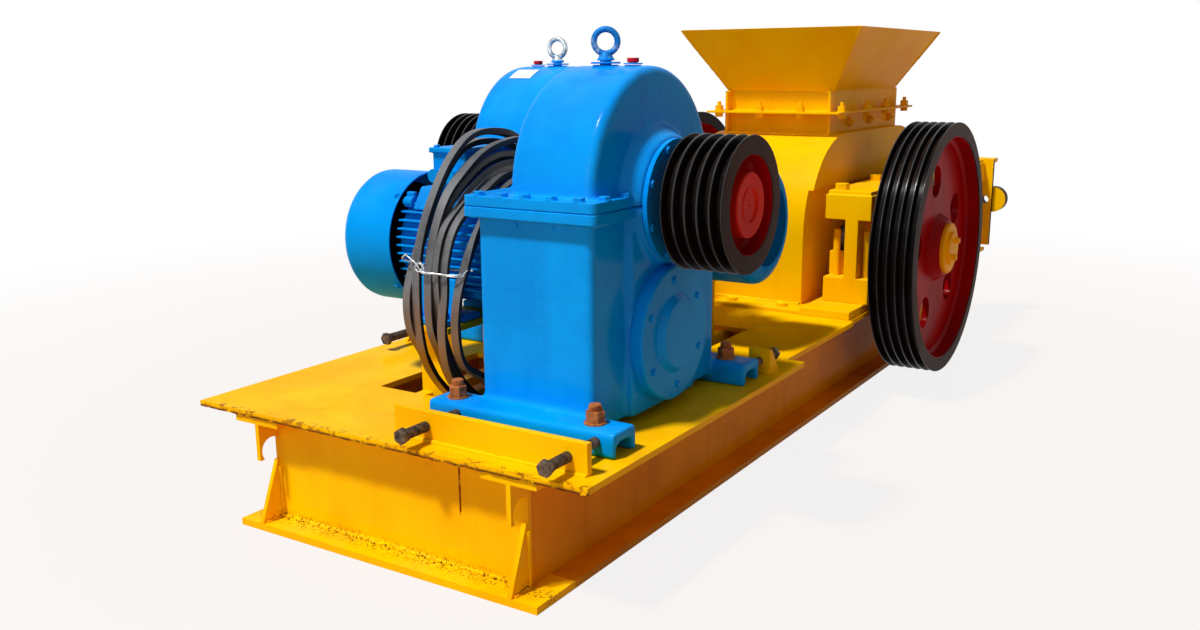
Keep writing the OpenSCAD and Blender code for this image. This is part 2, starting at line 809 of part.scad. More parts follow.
module feed_hopper() {
    color("gold") in_crusher() translate([0, 0, housing_h + 2 * throat_h + 5])
        for (s = [0, 1]) {
            rotate([0, 0, 180 * s])
                hopper_wall(throat_w, hopper_w, throat_l / 2, hopper_l / 2, hopper_h);
            rotate([0, 0, 90 + 180 * s])
                hopper_wall(throat_l, hopper_l, throat_w / 2, hopper_w / 2, hopper_h);
        }
}

// ---- Bearing frames on both sides of the housing ----

// Places a side's frame: side -1 is the near frame, built with outside towards -Y.
module on_rail(side) {
    in_crusher() translate([0, side * rail_y, 0]) mirror([0, side > 0 ? 1 : 0, 0]) children();
}

module rail_pads() {
    len = rail_front + rail_back + 98;
    color("gold") for (side = [-1, 1]) on_rail(side)
        translate([-rail_front - 98, -47, 0]) cube([len, 118, pad_t]);
}

module bearing_frame(side) {
    low = pad_t;
    mid = low + rail_low_h;
    top = mid + rail_gap;
    len = rail_front + rail_back;
    color("gold") on_rail(side) translate([-rail_front, 0, 0]) difference() {
        union() {
            translate([0, -rail_w / 2, low]) cube([len, rail_w, rail_low_h]);
            translate([0, -rail_w / 2, top]) cube([len, rail_w, rail_top_h]);
            for (x = [0, len - 60]) translate([x, -25, mid]) cube([60, 31, rail_gap]);
            // Cover plate with bevelled edges
            translate([6, -rail_w / 2 + 4, top + rail_top_h]) cube([len - 12, rail_w - 8, 9]);
        }
        // Holes for the hold-down studs
        for (x = stud_x, y = stud_y) translate([x, y, mid - 40]) cylinder(r = 8 + fit, h = 42);
    }
}

// Bearing blocks that ride between the rails, each with its running bore.
module bearing_blocks(side) {
    low = pad_t + rail_low_h;
    color("goldenrod") on_rail(side) for (s = [-1, 1])
        translate([s * roll_pitch / 2, 0, 0]) difference() {
            union() {
                translate([0, 0, low]) block(150, rail_w - 16, rail_gap);
                translate([0, -rail_w / 2 + 1, roll_z]) rod_y(48, 20);
            }
            translate([0, -rail_w, roll_z]) rod_y(roll_shaft_r + fit, 2 * rail_w);
        }
}

// Spring barrel and end bracket at the spring end of a frame, with the hold-down studs.
module spring_gear(side) {
    low = pad_t;
    x_end = rail_back;
    barrel_z = 156;
    mid = low + rail_low_h;
    color("gold") on_rail(side) {
        difference() {
            translate([x_end, -rail_w / 2 - 25, low]) cube([16, rail_w + 25, 262]);
            translate([x_end - 1, -rail_w / 2 - 5, barrel_z]) rotate([0, 90, 0]) cylinder(r = 12 + fit, h = 20);
        }
        translate([x_end + 16, -rail_w / 2 - 25, low + 250]) cube([34, 60, 12]);
        difference() {
            translate([x_end + 16, -rail_w / 2 - 25, barrel_z]) rotate([0, 90, 0]) cylinder(r = 38, h = 34);
            translate([x_end + 15, -rail_w / 2 - 5, barrel_z]) rotate([0, 90, 0]) cylinder(r = 12 + fit, h = 40);
        }
        for (x = stud_x, y = stud_y)
            translate([x - rail_front, y, mid - 40]) cylinder(r = 8, h = 148);
    }
}

// ---- Rolls ----

module crushing_roll(n) {
    s = n == 1 ? -1 : 1;
    side = n == 1 ? -1 : 1;
    teeth = 20;
    inner_y = rail_y + rail_w / 2 - 4;
    color("slategray") translate([crusher_x + s * roll_pitch / 2, crusher_y, roll_axis_z]) {
        difference() {
            translate([0, -roll_l / 2, 0]) rod_y(roll_r, roll_l, 96);
            for (i = [0 : teeth - 1]) rotate([0, i * 360 / teeth, 0])
                translate([roll_r + 5, -roll_l / 2 - 1, 0]) rod_y(11, roll_l + 2, 24);
        }
        // Shaft through both bearing blocks, long on the pulley's side
        reach = driven_y + pulley_w / 2 - hub_bore_end;
        start = side < 0 ? -reach - crusher_y : -inner_y;
        stop = side < 0 ? inner_y : reach - crusher_y;
        translate([0, start, 0]) rod_y(roll_shaft_r, -roll_l / 2 - start);
        translate([0, roll_l / 2, 0]) rod_y(roll_shaft_r, stop - roll_l / 2);
    }
}

side_beam(-1);  // side_beam_near
side_beam(1);  // side_beam_far
end_beam(-1);  // end_beam_drive
end_beam(1);  // end_beam_crusher
cross_beams();
deck_plate();
gearbox_case(1);  // gearbox_case_1
gearbox_cover(1);  // gearbox_cover_1
bearing_caps(1);  // bearing_caps_1
lifting_eye(1);  // lifting_eye_1
jack_plates(1);  // jack_plates_1
gearbox_case(2);  // gearbox_case_2
gearbox_cover(2);  // gearbox_cover_2
bearing_caps(2);  // bearing_caps_2
lifting_eye(2);  // lifting_eye_2
jack_plates(2);  // jack_plates_2
motor_frame(1);  // motor_frame_1
fan_cover(1);  // fan_cover_1
terminal_box(1);  // terminal_box_1
motor_stool(1);  // motor_stool_1
coupling_guard(1);  // coupling_guard_1
motor_frame(2);  // motor_frame_2
fan_cover(2);  // fan_cover_2
terminal_box(2);  // terminal_box_2
motor_stool(2);  // motor_stool_2
coupling_guard(2);  // coupling_guard_2
drive_pulley(1);  // drive_pulley_1
drive_pulley(2);  // drive_pulley_2
belt_loops(1);  // belt_loops_1
belt_loops(2);  // belt_loops_2
crusher_housing();
housing_foot();
throat_box();
feed_hopper();
rail_pads();
bearing_frame(-1);  // bearing_frame_near
bearing_frame(1);  // bearing_frame_far
bearing_blocks(-1);  // bearing_blocks_near
bearing_blocks(1);  // bearing_blocks_far
spring_gear(-1);  // spring_gear_near
spring_gear(1);  // spring_gear_far
crushing_roll(1);  // crushing_roll_1
driven_pulley(1);  // driven_pulley_1
crushing_roll(2);  // crushing_roll_2
driven_pulley(2);  // driven_pulley_2
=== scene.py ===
import json
import math

import bmesh
import bpy
from mathutils import Matrix, Quaternion, Vector, noise

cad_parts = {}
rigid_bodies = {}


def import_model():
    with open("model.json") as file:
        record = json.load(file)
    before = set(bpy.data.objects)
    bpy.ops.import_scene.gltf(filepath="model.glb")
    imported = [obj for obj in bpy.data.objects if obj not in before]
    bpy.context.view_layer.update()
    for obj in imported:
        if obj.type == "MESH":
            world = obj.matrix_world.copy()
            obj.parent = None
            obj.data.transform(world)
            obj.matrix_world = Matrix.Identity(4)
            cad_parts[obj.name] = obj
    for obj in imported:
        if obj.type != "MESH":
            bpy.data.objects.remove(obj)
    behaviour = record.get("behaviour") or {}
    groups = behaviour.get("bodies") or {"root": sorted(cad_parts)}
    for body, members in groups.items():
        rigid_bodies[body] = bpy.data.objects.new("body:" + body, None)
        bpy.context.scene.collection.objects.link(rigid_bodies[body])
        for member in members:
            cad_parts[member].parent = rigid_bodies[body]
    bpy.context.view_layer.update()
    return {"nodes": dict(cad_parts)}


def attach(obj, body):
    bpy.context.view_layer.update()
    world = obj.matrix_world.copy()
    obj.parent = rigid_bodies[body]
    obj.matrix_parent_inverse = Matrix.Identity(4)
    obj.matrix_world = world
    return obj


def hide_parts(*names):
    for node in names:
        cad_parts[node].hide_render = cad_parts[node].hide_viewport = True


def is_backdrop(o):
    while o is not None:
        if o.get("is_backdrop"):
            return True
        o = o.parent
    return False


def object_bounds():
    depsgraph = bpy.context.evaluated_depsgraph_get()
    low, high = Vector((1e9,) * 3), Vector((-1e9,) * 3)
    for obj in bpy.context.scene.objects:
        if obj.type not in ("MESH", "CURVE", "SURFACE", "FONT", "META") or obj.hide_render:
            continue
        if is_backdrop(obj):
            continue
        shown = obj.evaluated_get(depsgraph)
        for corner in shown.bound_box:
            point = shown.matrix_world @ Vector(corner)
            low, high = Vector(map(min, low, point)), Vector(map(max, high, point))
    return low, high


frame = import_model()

# ---- Camera and studio ----
# The camera stands low off the drive end's near corner and looks slightly down
# along the skid.
camera_data = bpy.data.cameras.new("camera")
camera_data.sensor_width = 36.0
camera_data.lens = 33.13
camera_data.clip_start = 0.05
camera_data.clip_end = 100.0
camera = bpy.data.objects.new("camera", camera_data)
bpy.context.scene.collection.objects.link(camera)
camera.location = (-2.360, -1.171, 0.769)
look = Vector((0.82394, 0.52259, -0.21913))
camera.rotation_mode = "QUATERNION"
camera.rotation_quaternion = look.to_track_quat("-Z", "Y") @ Quaternion((0, 0, 1), -0.00726)
bpy.context.scene.camera = camera
bpy.context.scene.view_settings.view_transform = "Standard"


def wire(tree, given, into):
    """Links a socket into another one, or sets it where a number or a colour is given."""
    if isinstance(given, bpy.types.NodeSocket):
        tree.links.new(given, into)
    else:
        into.default_value = given


def white_rays(tree):
    """A mask of the rays that meet plain white: seen, seen through glass or mirrored."""
    paths = tree.nodes.new("ShaderNodeLightPath")
    mask = paths.outputs["Is Camera Ray"]
    for ray in ("Is Transmission Ray", "Is Glossy Ray"):
        either = tree.nodes.new("ShaderNodeMath")
        either.operation = "MAXIMUM"
        wire(tree, mask, either.inputs[0])
        wire(tree, paths.outputs[ray], either.inputs[1])
        mask = either.outputs[0]
    return mask


# The world lights the object from all round and shows white behind it.
world = bpy.data.worlds.new("studio")
bpy.context.scene.world = world
world.use_nodes = True
tree = world.node_tree
back = tree.nodes["Background"]
level = tree.nodes.new("ShaderNodeMapRange")
level.inputs["To Min"].default_value = 0.16
level.inputs["To Max"].default_value = 1.0
wire(tree, white_rays(tree), level.inputs["Value"])
back.inputs["Color"].default_value = (1, 1, 1, 1)
wire(tree, level.outputs["Result"], back.inputs["Strength"])

# The key light comes from high above, with a wide soft light on the drive end and a
# weaker one on the near side. Each has a strength, a spread in degrees and an aim.
for title, energy, angle, aim in (
    ("key", 3.4, 6, (0.44, -0.20, -0.875)),
    ("end", 0.50, 36, (0.96, -0.07, -0.26)),
    ("side", 0.10, 60, (0.25, 0.90, -0.30)),
):
    lamp_data = bpy.data.lights.new(title, "SUN")
    lamp_data.energy = energy
    lamp_data.angle = math.radians(angle)
    lamp = bpy.data.objects.new(title, lamp_data)
    lamp.rotation_mode = "QUATERNION"
    lamp.rotation_quaternion = Vector(aim).to_track_quat("-Z", "Y")
    bpy.context.scene.collection.objects.link(lamp)

# The floor fades into the white behind it, and keeps a soft shadow.
floor_bm = bmesh.new()
bmesh.ops.create_circle(floor_bm, cap_ends=True, radius=14.0, segments=64)
floor_mesh = bpy.data.meshes.new("floor")
floor_bm.to_mesh(floor_mesh)
floor_bm.free()
floor = bpy.data.objects.new("floor", floor_mesh)
floor.location.z = -0.0005
bpy.context.scene.collection.objects.link(floor)
floor_paint = bpy.data.materials.new("floor")
floor_paint.use_nodes = True
tree = floor_paint.node_tree
shade = tree.nodes["Principled BSDF"]
shade.inputs["Base Color"].default_value = (0.50, 0.29, 0.17, 1)
shade.inputs["Roughness"].default_value = 0.9
glow = tree.nodes.new("ShaderNodeEmission")
glow.inputs["Strength"].default_value = 1.0
where = tree.nodes.new("ShaderNodeTexCoord")
reach = tree.nodes.new("ShaderNodeVectorMath")
reach.operation = "LENGTH"
fade = tree.nodes.new("ShaderNodeMapRange")
fade.inputs["From Min"].default_value = 1.3
fade.inputs["From Max"].default_value = 3.2
fade.inputs["To Min"].default_value = 0.86
fade.inputs["To Max"].default_value = 1.0
share = tree.nodes.new("ShaderNodeMath")
share.operation = "MULTIPLY"
mix = tree.nodes.new("ShaderNodeMixShader")
wire(tree, where.outputs["Object"], reach.inputs[0])
wire(tree, reach.outputs["Value"], fade.inputs["Value"])
wire(tree, fade.outputs["Result"], share.inputs[0])
wire(tree, white_rays(tree), share.inputs[1])
wire(tree, share.outputs[0], mix.inputs["Fac"])
wire(tree, shade.outputs[0], mix.inputs[1])
wire(tree, glow.outputs[0], mix.inputs[2])
wire(tree, mix.outputs[0], tree.nodes["Material Output"].inputs["Surface"])
floor_mesh.materials.append(floor_paint)
floor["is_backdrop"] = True


# ---- Skid ----
# Rolled beams welded into a frame and painted yellow. The roots between their webs and
# flanges are round, and weld beads run along the end beams' webs and gussets.
MM = 0.001


def srgb(code):
    """A six-figure colour code as a linear colour."""
    parts = [int(code[i : i + 2], 16) / 255 for i in (0, 2, 4)]
    return tuple(p / 12.92 if p < 0.04045 else ((p + 0.055) / 1.055) ** 2.4 for p in parts) + (1.0,)


def group_of(title, inputs, outputs):
    """An empty shader group with its sockets, and its input and output nodes."""
    made = bpy.data.node_groups.new(title, "ShaderNodeTree")
    kinds = {"colour": "NodeSocketColor", "value": "NodeSocketFloat", "vector": "NodeSocketVector"}
    for label, kind in inputs:
        made.interface.new_socket(name=label, in_out="INPUT", socket_type=kinds[kind])
    for label, kind in outputs:
        made.interface.new_socket(name=label, in_out="OUTPUT", socket_type=kinds[kind])
    return made, made.nodes.new("NodeGroupInput"), made.nodes.new("NodeGroupOutput")


def noise_of(tree, vector, scale, detail=4.0, rough=0.55, stretch=(1, 1, 1)):
    """A noise texture on the given vector, in 1/metre."""
    place = tree.nodes.new("ShaderNodeMapping")
    place.inputs["Scale"].default_value = stretch
    wire(tree, vector, place.inputs["Vector"])
    made = tree.nodes.new("ShaderNodeTexNoise")
    made.inputs["Detail"].default_value = detail
    made.inputs["Roughness"].default_value = rough
    wire(tree, scale, made.inputs["Scale"])
    wire(tree, place.outputs["Vector"], made.inputs["Vector"])
    return made.outputs["Fac"]


def ramp_of(tree, value, low, high, to_low=0.0, to_high=1.0):
    """The value between two limits, turned to another range."""
    made = tree.nodes.new("ShaderNodeMapRange")
    for given, label in ((value, "Value"), (low, "From Min"), (high, "From Max"),
                         (to_low, "To Min"), (to_high, "To Max")):
        wire(tree, given, made.inputs[label])
    return made.outputs["Result"]


def sum_of(tree, operation, a, b=0.0):
    """Two values put together. Masks that are added or multiplied stay between 0 and 1."""
    made = tree.nodes.new("ShaderNodeMath")
    made.operation = operation
    made.use_clamp = operation in ("ADD", "MULTIPLY")
    wire(tree, a, made.inputs[0])
    wire(tree, b, made.inputs[1])
    return made.outputs[0]


def blend_of(tree, mask, a, b):
    """Two colours mixed by a mask."""
    made = tree.nodes.new("ShaderNodeMix")
    made.data_type = "RGBA"
    wire(tree, mask, made.inputs[0])
    wire(tree, a, made.inputs[6])
    wire(tree, b, made.inputs[7])
    return made.outputs[2]


def finish_of(title, effect, values, bump, depth):
    """A material whose colour, roughness and relief come from one effect."""
    made = bpy.data.materials.new(title)
    made.use_nodes = True
    tree = made.node_tree
    shader = tree.nodes["Principled BSDF"]
    spot = tree.nodes.new("ShaderNodeTexCoord")
    node = tree.nodes.new("ShaderNodeGroup")
    node.node_tree = effect
    wire(tree, spot.outputs["Object"], node.inputs["Place"])
    for label, value in values.items():
        node.inputs[label].default_value = srgb(value) if isinstance(value, str) else value
    relief = tree.nodes.new("ShaderNodeBump")
    relief.inputs["Strength"].default_value = bump
    relief.inputs["Distance"].default_value = depth
    wire(tree, node.outputs["Colour"], shader.inputs["Base Color"])
    wire(tree, node.outputs["Roughness"], shader.inputs["Roughness"])
    wire(tree, node.outputs["Height"], relief.inputs["Height"])
    wire(tree, relief.outputs["Normal"], shader.inputs["Normal"])
    return made


# The paint is one film over every painted surface: slightly uneven, with runs, dust on
# what faces up, rust specks and worn edges.
film, film_in, film_out = group_of(
    "paint_film",
    [("Place", "vector"), ("Paint", "colour"), ("Shade", "colour"), ("Dust", "colour"),
     ("Dust Amount", "value"), ("Rust", "colour"), ("Rust Amount", "value"), ("Gloss", "value")],
    [("Colour", "colour"), ("Roughness", "value"), ("Height", "value")],
)
place = film_in.outputs["Place"]
cloud = ramp_of(film, noise_of(film, place, 5.0, 5.0), 0.38, 0.66)
runs = ramp_of(film, noise_of(film, place, 26.0, 3.0, 0.5, (1, 1, 0.12)), 0.5, 0.75, 0.0, 0.35)
uneven = sum_of(film, "ADD", sum_of(film, "MULTIPLY", cloud, 0.75), runs)
coat = blend_of(film, uneven, film_in.outputs["Paint"], film_in.outputs["Shade"])
facing = film.nodes.new("ShaderNodeNewGeometry")
split = film.nodes.new("ShaderNodeSeparateXYZ")
wire(film, facing.outputs["Normal"], split.inputs[0])
upward = ramp_of(film, split.outputs["Z"], 0.35, 0.95)
patches = ramp_of(film, noise_of(film, place, 9.0, 8.0, 0.65), 0.46, 0.68)
fine = ramp_of(film, noise_of(film, place, 120.0, 3.0, 0.6), 0.35, 0.7, 0.35, 1.0)
dust_mask = sum_of(film, "MULTIPLY", sum_of(film, "MULTIPLY", upward, patches),
                   sum_of(film, "MULTIPLY", fine, film_in.outputs["Dust Amount"]))
dust_and_reflection = blend_of(film, dust_mask, coat, film_in.outputs["Dust"])
rim = film.nodes.new("ShaderNodeBevel")
rim.samples = 4
rim.inputs["Radius"].default_value = 0.0025
dot = film.nodes.new("ShaderNodeVectorMath")
dot.operation = "DOT_PRODUCT"
wire(film, rim.outputs["Normal"], dot.inputs[0])
wire(film, facing.outputs["Normal"], dot.inputs[1])
edge = ramp_of(film, dot.outputs["Value"], 0.97, 0.80)
chips = ramp_of(film, noise_of(film, place, 60.0, 6.0, 0.7), 0.55, 0.68)
worn = sum_of(film, "MULTIPLY", edge, chips)
specks = ramp_of(film, noise_of(film, place, 210.0, 2.0, 0.5), 0.70, 0.76)
spots = sum_of(film, "MULTIPLY", specks, ramp_of(film, noise_of(film, place, 12.0, 3.0), 0.48, 0.62))
rust_mask = sum_of(film, "MULTIPLY", sum_of(film, "ADD", worn, spots), film_in.outputs["Rust Amount"])
wire(film, blend_of(film, rust_mask, dust_and_reflection, film_in.outputs["Rust"]), film_out.inputs["Colour"])
matt = sum_of(film, "ADD", sum_of(film, "MULTIPLY", dust_mask, 0.45),
              sum_of(film, "MULTIPLY", rust_mask, 0.5))
smear = ramp_of(film, noise_of(film, place, 17.0, 5.0), 0.3, 0.7, 0.0, 0.14)
wire(film, sum_of(film, "ADD", sum_of(film, "ADD", film_in.outputs["Gloss"], smear), matt),
     film_out.inputs["Roughness"])
peel = sum_of(film, "MULTIPLY", noise_of(film, place, 320.0, 2.0), 0.10)
waves = sum_of(film, "MULTIPLY", noise_of(film, place, 42.0, 3.0), 0.55)
grit = sum_of(film, "MULTIPLY", rust_mask, 0.3)
wire(film, sum_of(film, "ADD", sum_of(film, "ADD", peel, waves), grit), film_out.inputs["Height"])


def painted(title, paint, shade, dust="B9A06A", dust_amount=0.25, rust="5A2A12", rust_amount=0.5,
            gloss=0.34, bump=0.25, depth=0.0012, coat=0.07):
    """A paint film on steel or iron."""
    made = finish_of(title, film, {"Paint": paint, "Shade": shade, "Dust": dust, "Dust Amount": dust_amount,
                                   "Rust": rust, "Rust Amount": rust_amount, "Gloss": gloss}, bump, depth)
    shader = made.node_tree.nodes["Principled BSDF"]
    shader.inputs["Specular IOR Level"].default_value = 0.01
    shader.inputs["Coat Weight"].default_value = coat
    shader.inputs["Coat Roughness"].default_value = 0.16
    return made


# A stain lies in a box about a middle, at full strength within one half size and gone
# beyond the next, and noise breaks it up. It can lie at one end of the skid or at both.
stain, stain_in, stain_out = group_of(
    "ragged_stain",
    [("Place", "vector"), ("Under", "colour"), ("Stain", "colour"), ("Both Ends", "value"),
     ("Middle", "vector"), ("Full Within", "vector"), ("Gone Beyond", "vector"),
     ("Speck Scale", "value"), ("Speck Low", "value"), ("Speck High", "value")],
    [("Colour", "colour")],
)
axes = {}
for label in ("Place", "Middle", "Full Within", "Gone Beyond"):
    axes[label] = stain.nodes.new("ShaderNodeSeparateXYZ")
    wire(stain, stain_in.outputs[label], axes[label].inputs[0])
from_end = stain.nodes.new("ShaderNodeMix")
wire(stain, stain_in.outputs["Both Ends"], from_end.inputs[0])
wire(stain, axes["Place"].outputs["X"], from_end.inputs[2])
wire(stain, sum_of(stain, "ABSOLUTE", axes["Place"].outputs["X"]), from_end.inputs[3])
mask = ramp_of(stain, noise_of(stain, stain_in.outputs["Place"], stain_in.outputs["Speck Scale"], 5.0, 0.7),
               stain_in.outputs["Speck Low"], stain_in.outputs["Speck High"])
for axis in "XYZ":
    run = from_end.outputs[0] if axis == "X" else axes["Place"].outputs[axis]
    away = sum_of(stain, "ABSOLUTE", sum_of(stain, "SUBTRACT", run, axes["Middle"].outputs[axis]))
    full, gone = (axes[label].outputs[axis] for label in ("Full Within", "Gone Beyond"))
    band = ramp_of(stain, away, full, gone, 1.0, 0.0)
    mask = sum_of(stain, "MULTIPLY", mask, band)
wire(stain, blend_of(stain, mask, stain_in.outputs["Under"], stain_in.outputs["Stain"]),
     stain_out.inputs["Colour"])


def stain_over(made, colour, middle, full_within, gone_beyond, specks, both_ends=1.0):
    """Lays a ragged stain over a paint, in metres."""
    tree = made.node_tree
    top_colour = tree.nodes["Principled BSDF"].inputs["Base Color"]
    spot = next(node for node in tree.nodes if node.type == "TEX_COORD")
    node = tree.nodes.new("ShaderNodeGroup")
    node.node_tree = stain
    wire(tree, spot.outputs["Object"], node.inputs["Place"])
    wire(tree, top_colour.links[0].from_socket, node.inputs["Under"])
    for label, value in (("Stain", srgb(colour)), ("Both Ends", both_ends), ("Middle", middle),
                         ("Full Within", full_within), ("Gone Beyond", gone_beyond),
                         ("Speck Scale", specks[0]), ("Speck Low", specks[1]), ("Speck High", specks[2])):
        node.inputs[label].default_value = value
    wire(tree, node.outputs["Colour"], top_colour)


yellow = painted("yellow_paint", "FFC800", "FAB200", dust_amount=0.12, rust_amount=0.45)
yellow_deck = painted("yellow_deck_paint", "FFC600", "F8AE00", "C89018", 0.45, "6B3512", 0.55, 0.36, 0.35)
# The side beams' paint is a darker orange: partly dirt, partly painted shade from the deck's overhang.
shaded_side_beam_yellow = painted("side_beam_paint_and_painted_shade", "F4A000", "DC8600", "8A5A20", 0.4, "5C2C10", 0.8)
yellow_end = painted("yellow_end_paint", "FFC800", "FAB000", dust_amount=0.12, rust_amount=0.5)
# Grit lies along the foot of the end webs, and one dark run goes down the drive end
anywhere, nowhere = 9.0, 10.0
grit_specks, rag_specks, scale_specks = (230.0, 0.50, 0.60), (60.0, 0.36, 0.46), (70.0, 0.52, 0.60)
stain_over(yellow_end, "3A240C", (1.145, 0, 0.012), (0.005, anywhere, 0.004), (0.025, nowhere, 0.017),
           grit_specks)
stain_over(yellow_end, "7E1E04", (-1.137, -0.139, 0.139), (0.004, 0.0012, 0.036), (0.006, 0.0027, 0.046),
           rag_specks, both_ends=0.0)
# The deck's flame-cut ends are brown below and ragged
stain_over(yellow_deck, "5E2E0C", (1.180, 0, 0.1995), (0.003, anywhere, 0.0022), (0.005, nowhere, 0.0062),
           rag_specks)
stain_over(yellow_deck, "9A5A10", (1.176, 0, 0), (0.001, anywhere, anywhere), (0.013, nowhere, nowhere),
           scale_specks)


def solid_of(node, join=True):
    """A merged copy of a solid in millimetres, with its flat faces joined."""
    bm = bmesh.new()
    bm.from_mesh(frame["nodes"][node].data)
    bmesh.ops.scale(bm, vec=(1 / MM,) * 3, verts=bm.verts)
    bmesh.ops.remove_doubles(bm, verts=bm.verts, dist=0.002)
    if join:
        bmesh.ops.dissolve_limit(bm, angle_limit=math.radians(0.5), verts=bm.verts, edges=bm.edges)
    return bm


def round_edges(bm, edges, width, segments=2):
    """Rounds the given edges."""
    bmesh.ops.bevel(bm, geom=edges, offset=width, offset_type="OFFSET", segments=segments, profile=0.5,
                    affect="EDGES", clamp_overlap=True, material=-1)


def soften(bm, width, segments=2, least=35.0, longer=2.0, edges=None):
    """Rounds the edges that are sharper than an angle, and long enough to take it."""
    chosen = [
        e
        for e in (edges or bm.edges)
        if len(e.link_faces) == 2
        and e.calc_face_angle(0.0) > math.radians(least)
        and e.calc_length() > longer * width
    ]
    if chosen:
        round_edges(bm, chosen, width, segments)
    return bm


def piece(bm, title, material, body="frame", stands_for=(), sharp=48.0, also=()):
    """Turns a bmesh in millimetres into a piece of the object."""
    bmesh.ops.scale(bm, vec=(MM,) * 3, verts=bm.verts)
    for f in bm.faces:
        f.smooth = True
    for e in bm.edges:
        e.smooth = len(e.link_faces) != 2 or e.calc_face_angle(0.0) < math.radians(sharp)
    mesh = bpy.data.meshes.new(title)
    bm.to_mesh(mesh)
    bm.free()
    for look in (material, *also):
        mesh.materials.append(look)
    made = bpy.data.objects.new(title, mesh)
    bpy.context.scene.collection.objects.link(made)
    normals = made.modifiers.new("normals", "WEIGHTED_NORMAL")
    normals.keep_sharp = True
    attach(made, body)
    if stands_for:
        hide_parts(*stands_for)
    return made


def add_weld(bm, start, end, r=4.0, seed=0):
    """A bead of weld between two points, with its ripples."""
    start, end = Vector(start), Vector(end)
    along = end - start
    length = along.length
    pose = Matrix.Translation((start + end) / 2) @ along.to_track_quat("Z", "Y").to_matrix().to_4x4()
    made = bmesh.ops.create_cone(bm, cap_ends=True, cap_tris=False, segments=8, radius1=r, radius2=r,
                                 depth=length, matrix=pose)["verts"]
    sides = [e for e in {e for v in made for e in v.link_edges} if e.calc_length() > length * 0.99]
    parts = bmesh.ops.subdivide_edges(bm, edges=sides, cuts=max(2, int(length / 5)), use_grid_fill=True)
    verts = {v for v in parts["geom_inner"] if isinstance(v, bmesh.types.BMVert)}
    axis = along.normalized()
    for v in verts:
        run = (v.co - start).dot(axis)
        spot = start + axis * run
        swell = 1.0 + 0.22 * math.sin(run * 1.25) + 0.35 * noise.noise(Vector((run * 0.09, seed, r)))
        v.co = spot + (v.co - spot) * swell


def beam_of(node):
    """A rolled beam, with round roots between its web and flanges."""
    bm = solid_of(node)
    roots = [e for e in bm.edges
             if len(e.link_faces) == 2 and not e.is_convex and e.calc_length() > root_least]
    if roots:
        round_edges(bm, roots, root_r, 4)
    return soften(bm, 1.6, 2, 50.0, 4.0)


root_r, root_least = 10.0, 900.0
end_web_x = 1132.0
web_half = 4.0
web_y = 263.0
flange_t = 12.0
gusset_weld, foot_weld = 92.0, 38.0
for label in ("near", "far"):
    piece(beam_of("side_beam_" + label), "side_beam_" + label + "_painted", shaded_side_beam_yellow,
          stands_for=["side_beam_" + label])
for side, label in ((-1, "drive"), (1, "crusher")):
    bm = soften(solid_of("end_beam_" + label), 1.3, 2, 50.0, 4.0)
    x = side * end_web_x
    face = x + side * (web_half + 1)
    add_weld(bm, (face, -web_y, flange_t + 1), (face, web_y, flange_t + 1), 5.0, side)
    for s in (-1, 1):
        for t in (-1, 1):
            y = s * web_y + t * (web_half + 1)
            add_weld(bm, (face, y, flange_t), (face, y, flange_t + gusset_weld), 3.5, s + 3 * t)
            add_weld(bm, (face, y, flange_t + 1), (face + side * foot_weld, y, flange_t + 1), 3.5, s + 5 * t)
    piece(bm, "end_beam_" + label + "_painted", yellow_end,
          stands_for=["end_beam_" + label])
piece(soften(solid_of("cross_beams"), 1.6, 2, 50.0, 4.0), "cross_beams_painted", yellow,
      stands_for=["cross_beams"])

# ---- Deck plate ----
# A rolled plate welded on the beams, with openings for the belts and the discharge.
# Its two ends are flame-cut by hand, so they wander.
deck_end_x = 1180.0
end_cuts = 170
middle_z = 205.0
deck = solid_of("deck_plate", False)
cuts = [e for e in deck.edges if all(abs(abs(v.co.x) - deck_end_x) < 1 for v in e.verts)
        and e.calc_length() > 400]
parts = bmesh.ops.subdivide_edges(deck, edges=cuts, cuts=end_cuts, use_grid_fill=True)
for v in {g for g in parts["geom_inner"] if isinstance(g, bmesh.types.BMVert)}:
    wobble = noise.noise(Vector((v.co.y * 0.05, v.co.z, 3.0)))
    wobble += 0.6 * noise.noise(Vector((v.co.y * 0.35, v.co.z, 7.0)))
    v.co.x += wobble * 1.3
    if v.co.z > middle_z:
        v.co.z += min(0.0, wobble) * 0.8
    else:
        v.co.z += wobble * 0.9
piece(soften(deck, 1.0, 2, 50.0, 4.0), "deck_plate_painted", yellow_deck,
      stands_for=["deck_plate"])

# ---- Gearboxes ----
# Cast-iron cases, split at the output shaft. The upper half is a domed barrel.
# Every corner is a casting's round corner, under thick blue paint.
drive_x = {1: -814.0, 2: -353.0}
shaft_z = 561.0
lower_shaft_z = 345.0
deck_z = 210.0
blue = painted("blue_casting_paint", "009EF8", "0086E2", "4FBCF6", 0.30, "4A3A2E", 0.10, 0.24, 0.8, 0.0024,
               0.14)


def at_drive(bm, n):
    """Puts a shape drawn for the first drive in its place, half round for the second."""
    pose = Matrix.Translation((drive_x[n], 0, 0)) @ Matrix.Rotation(math.pi * (n - 1), 4, "Z")
    bmesh.ops.transform(bm, matrix=pose, verts=bm.verts)
    return bm


def worker_of(title, bm):
    """A working object that takes a bmesh's shape."""
    mesh = bpy.data.meshes.new(title)
    bm.to_mesh(mesh)
    bm.free()
    worker = bpy.data.objects.new(title, mesh)
    bpy.context.scene.collection.objects.link(worker)
    return worker


def shape_after(worker, *others):
    """The shape that a working object's modifiers give. The working objects are removed."""
    bpy.context.view_layer.update()
    done = bpy.data.meshes.new_from_object(worker.evaluated_get(bpy.context.evaluated_depsgraph_get()))
    bm = bmesh.new()
    bm.from_mesh(done)
    bpy.data.batch_remove([done, *(block for spent in (worker, *others) for block in (spent, spent.data))])
    return bm


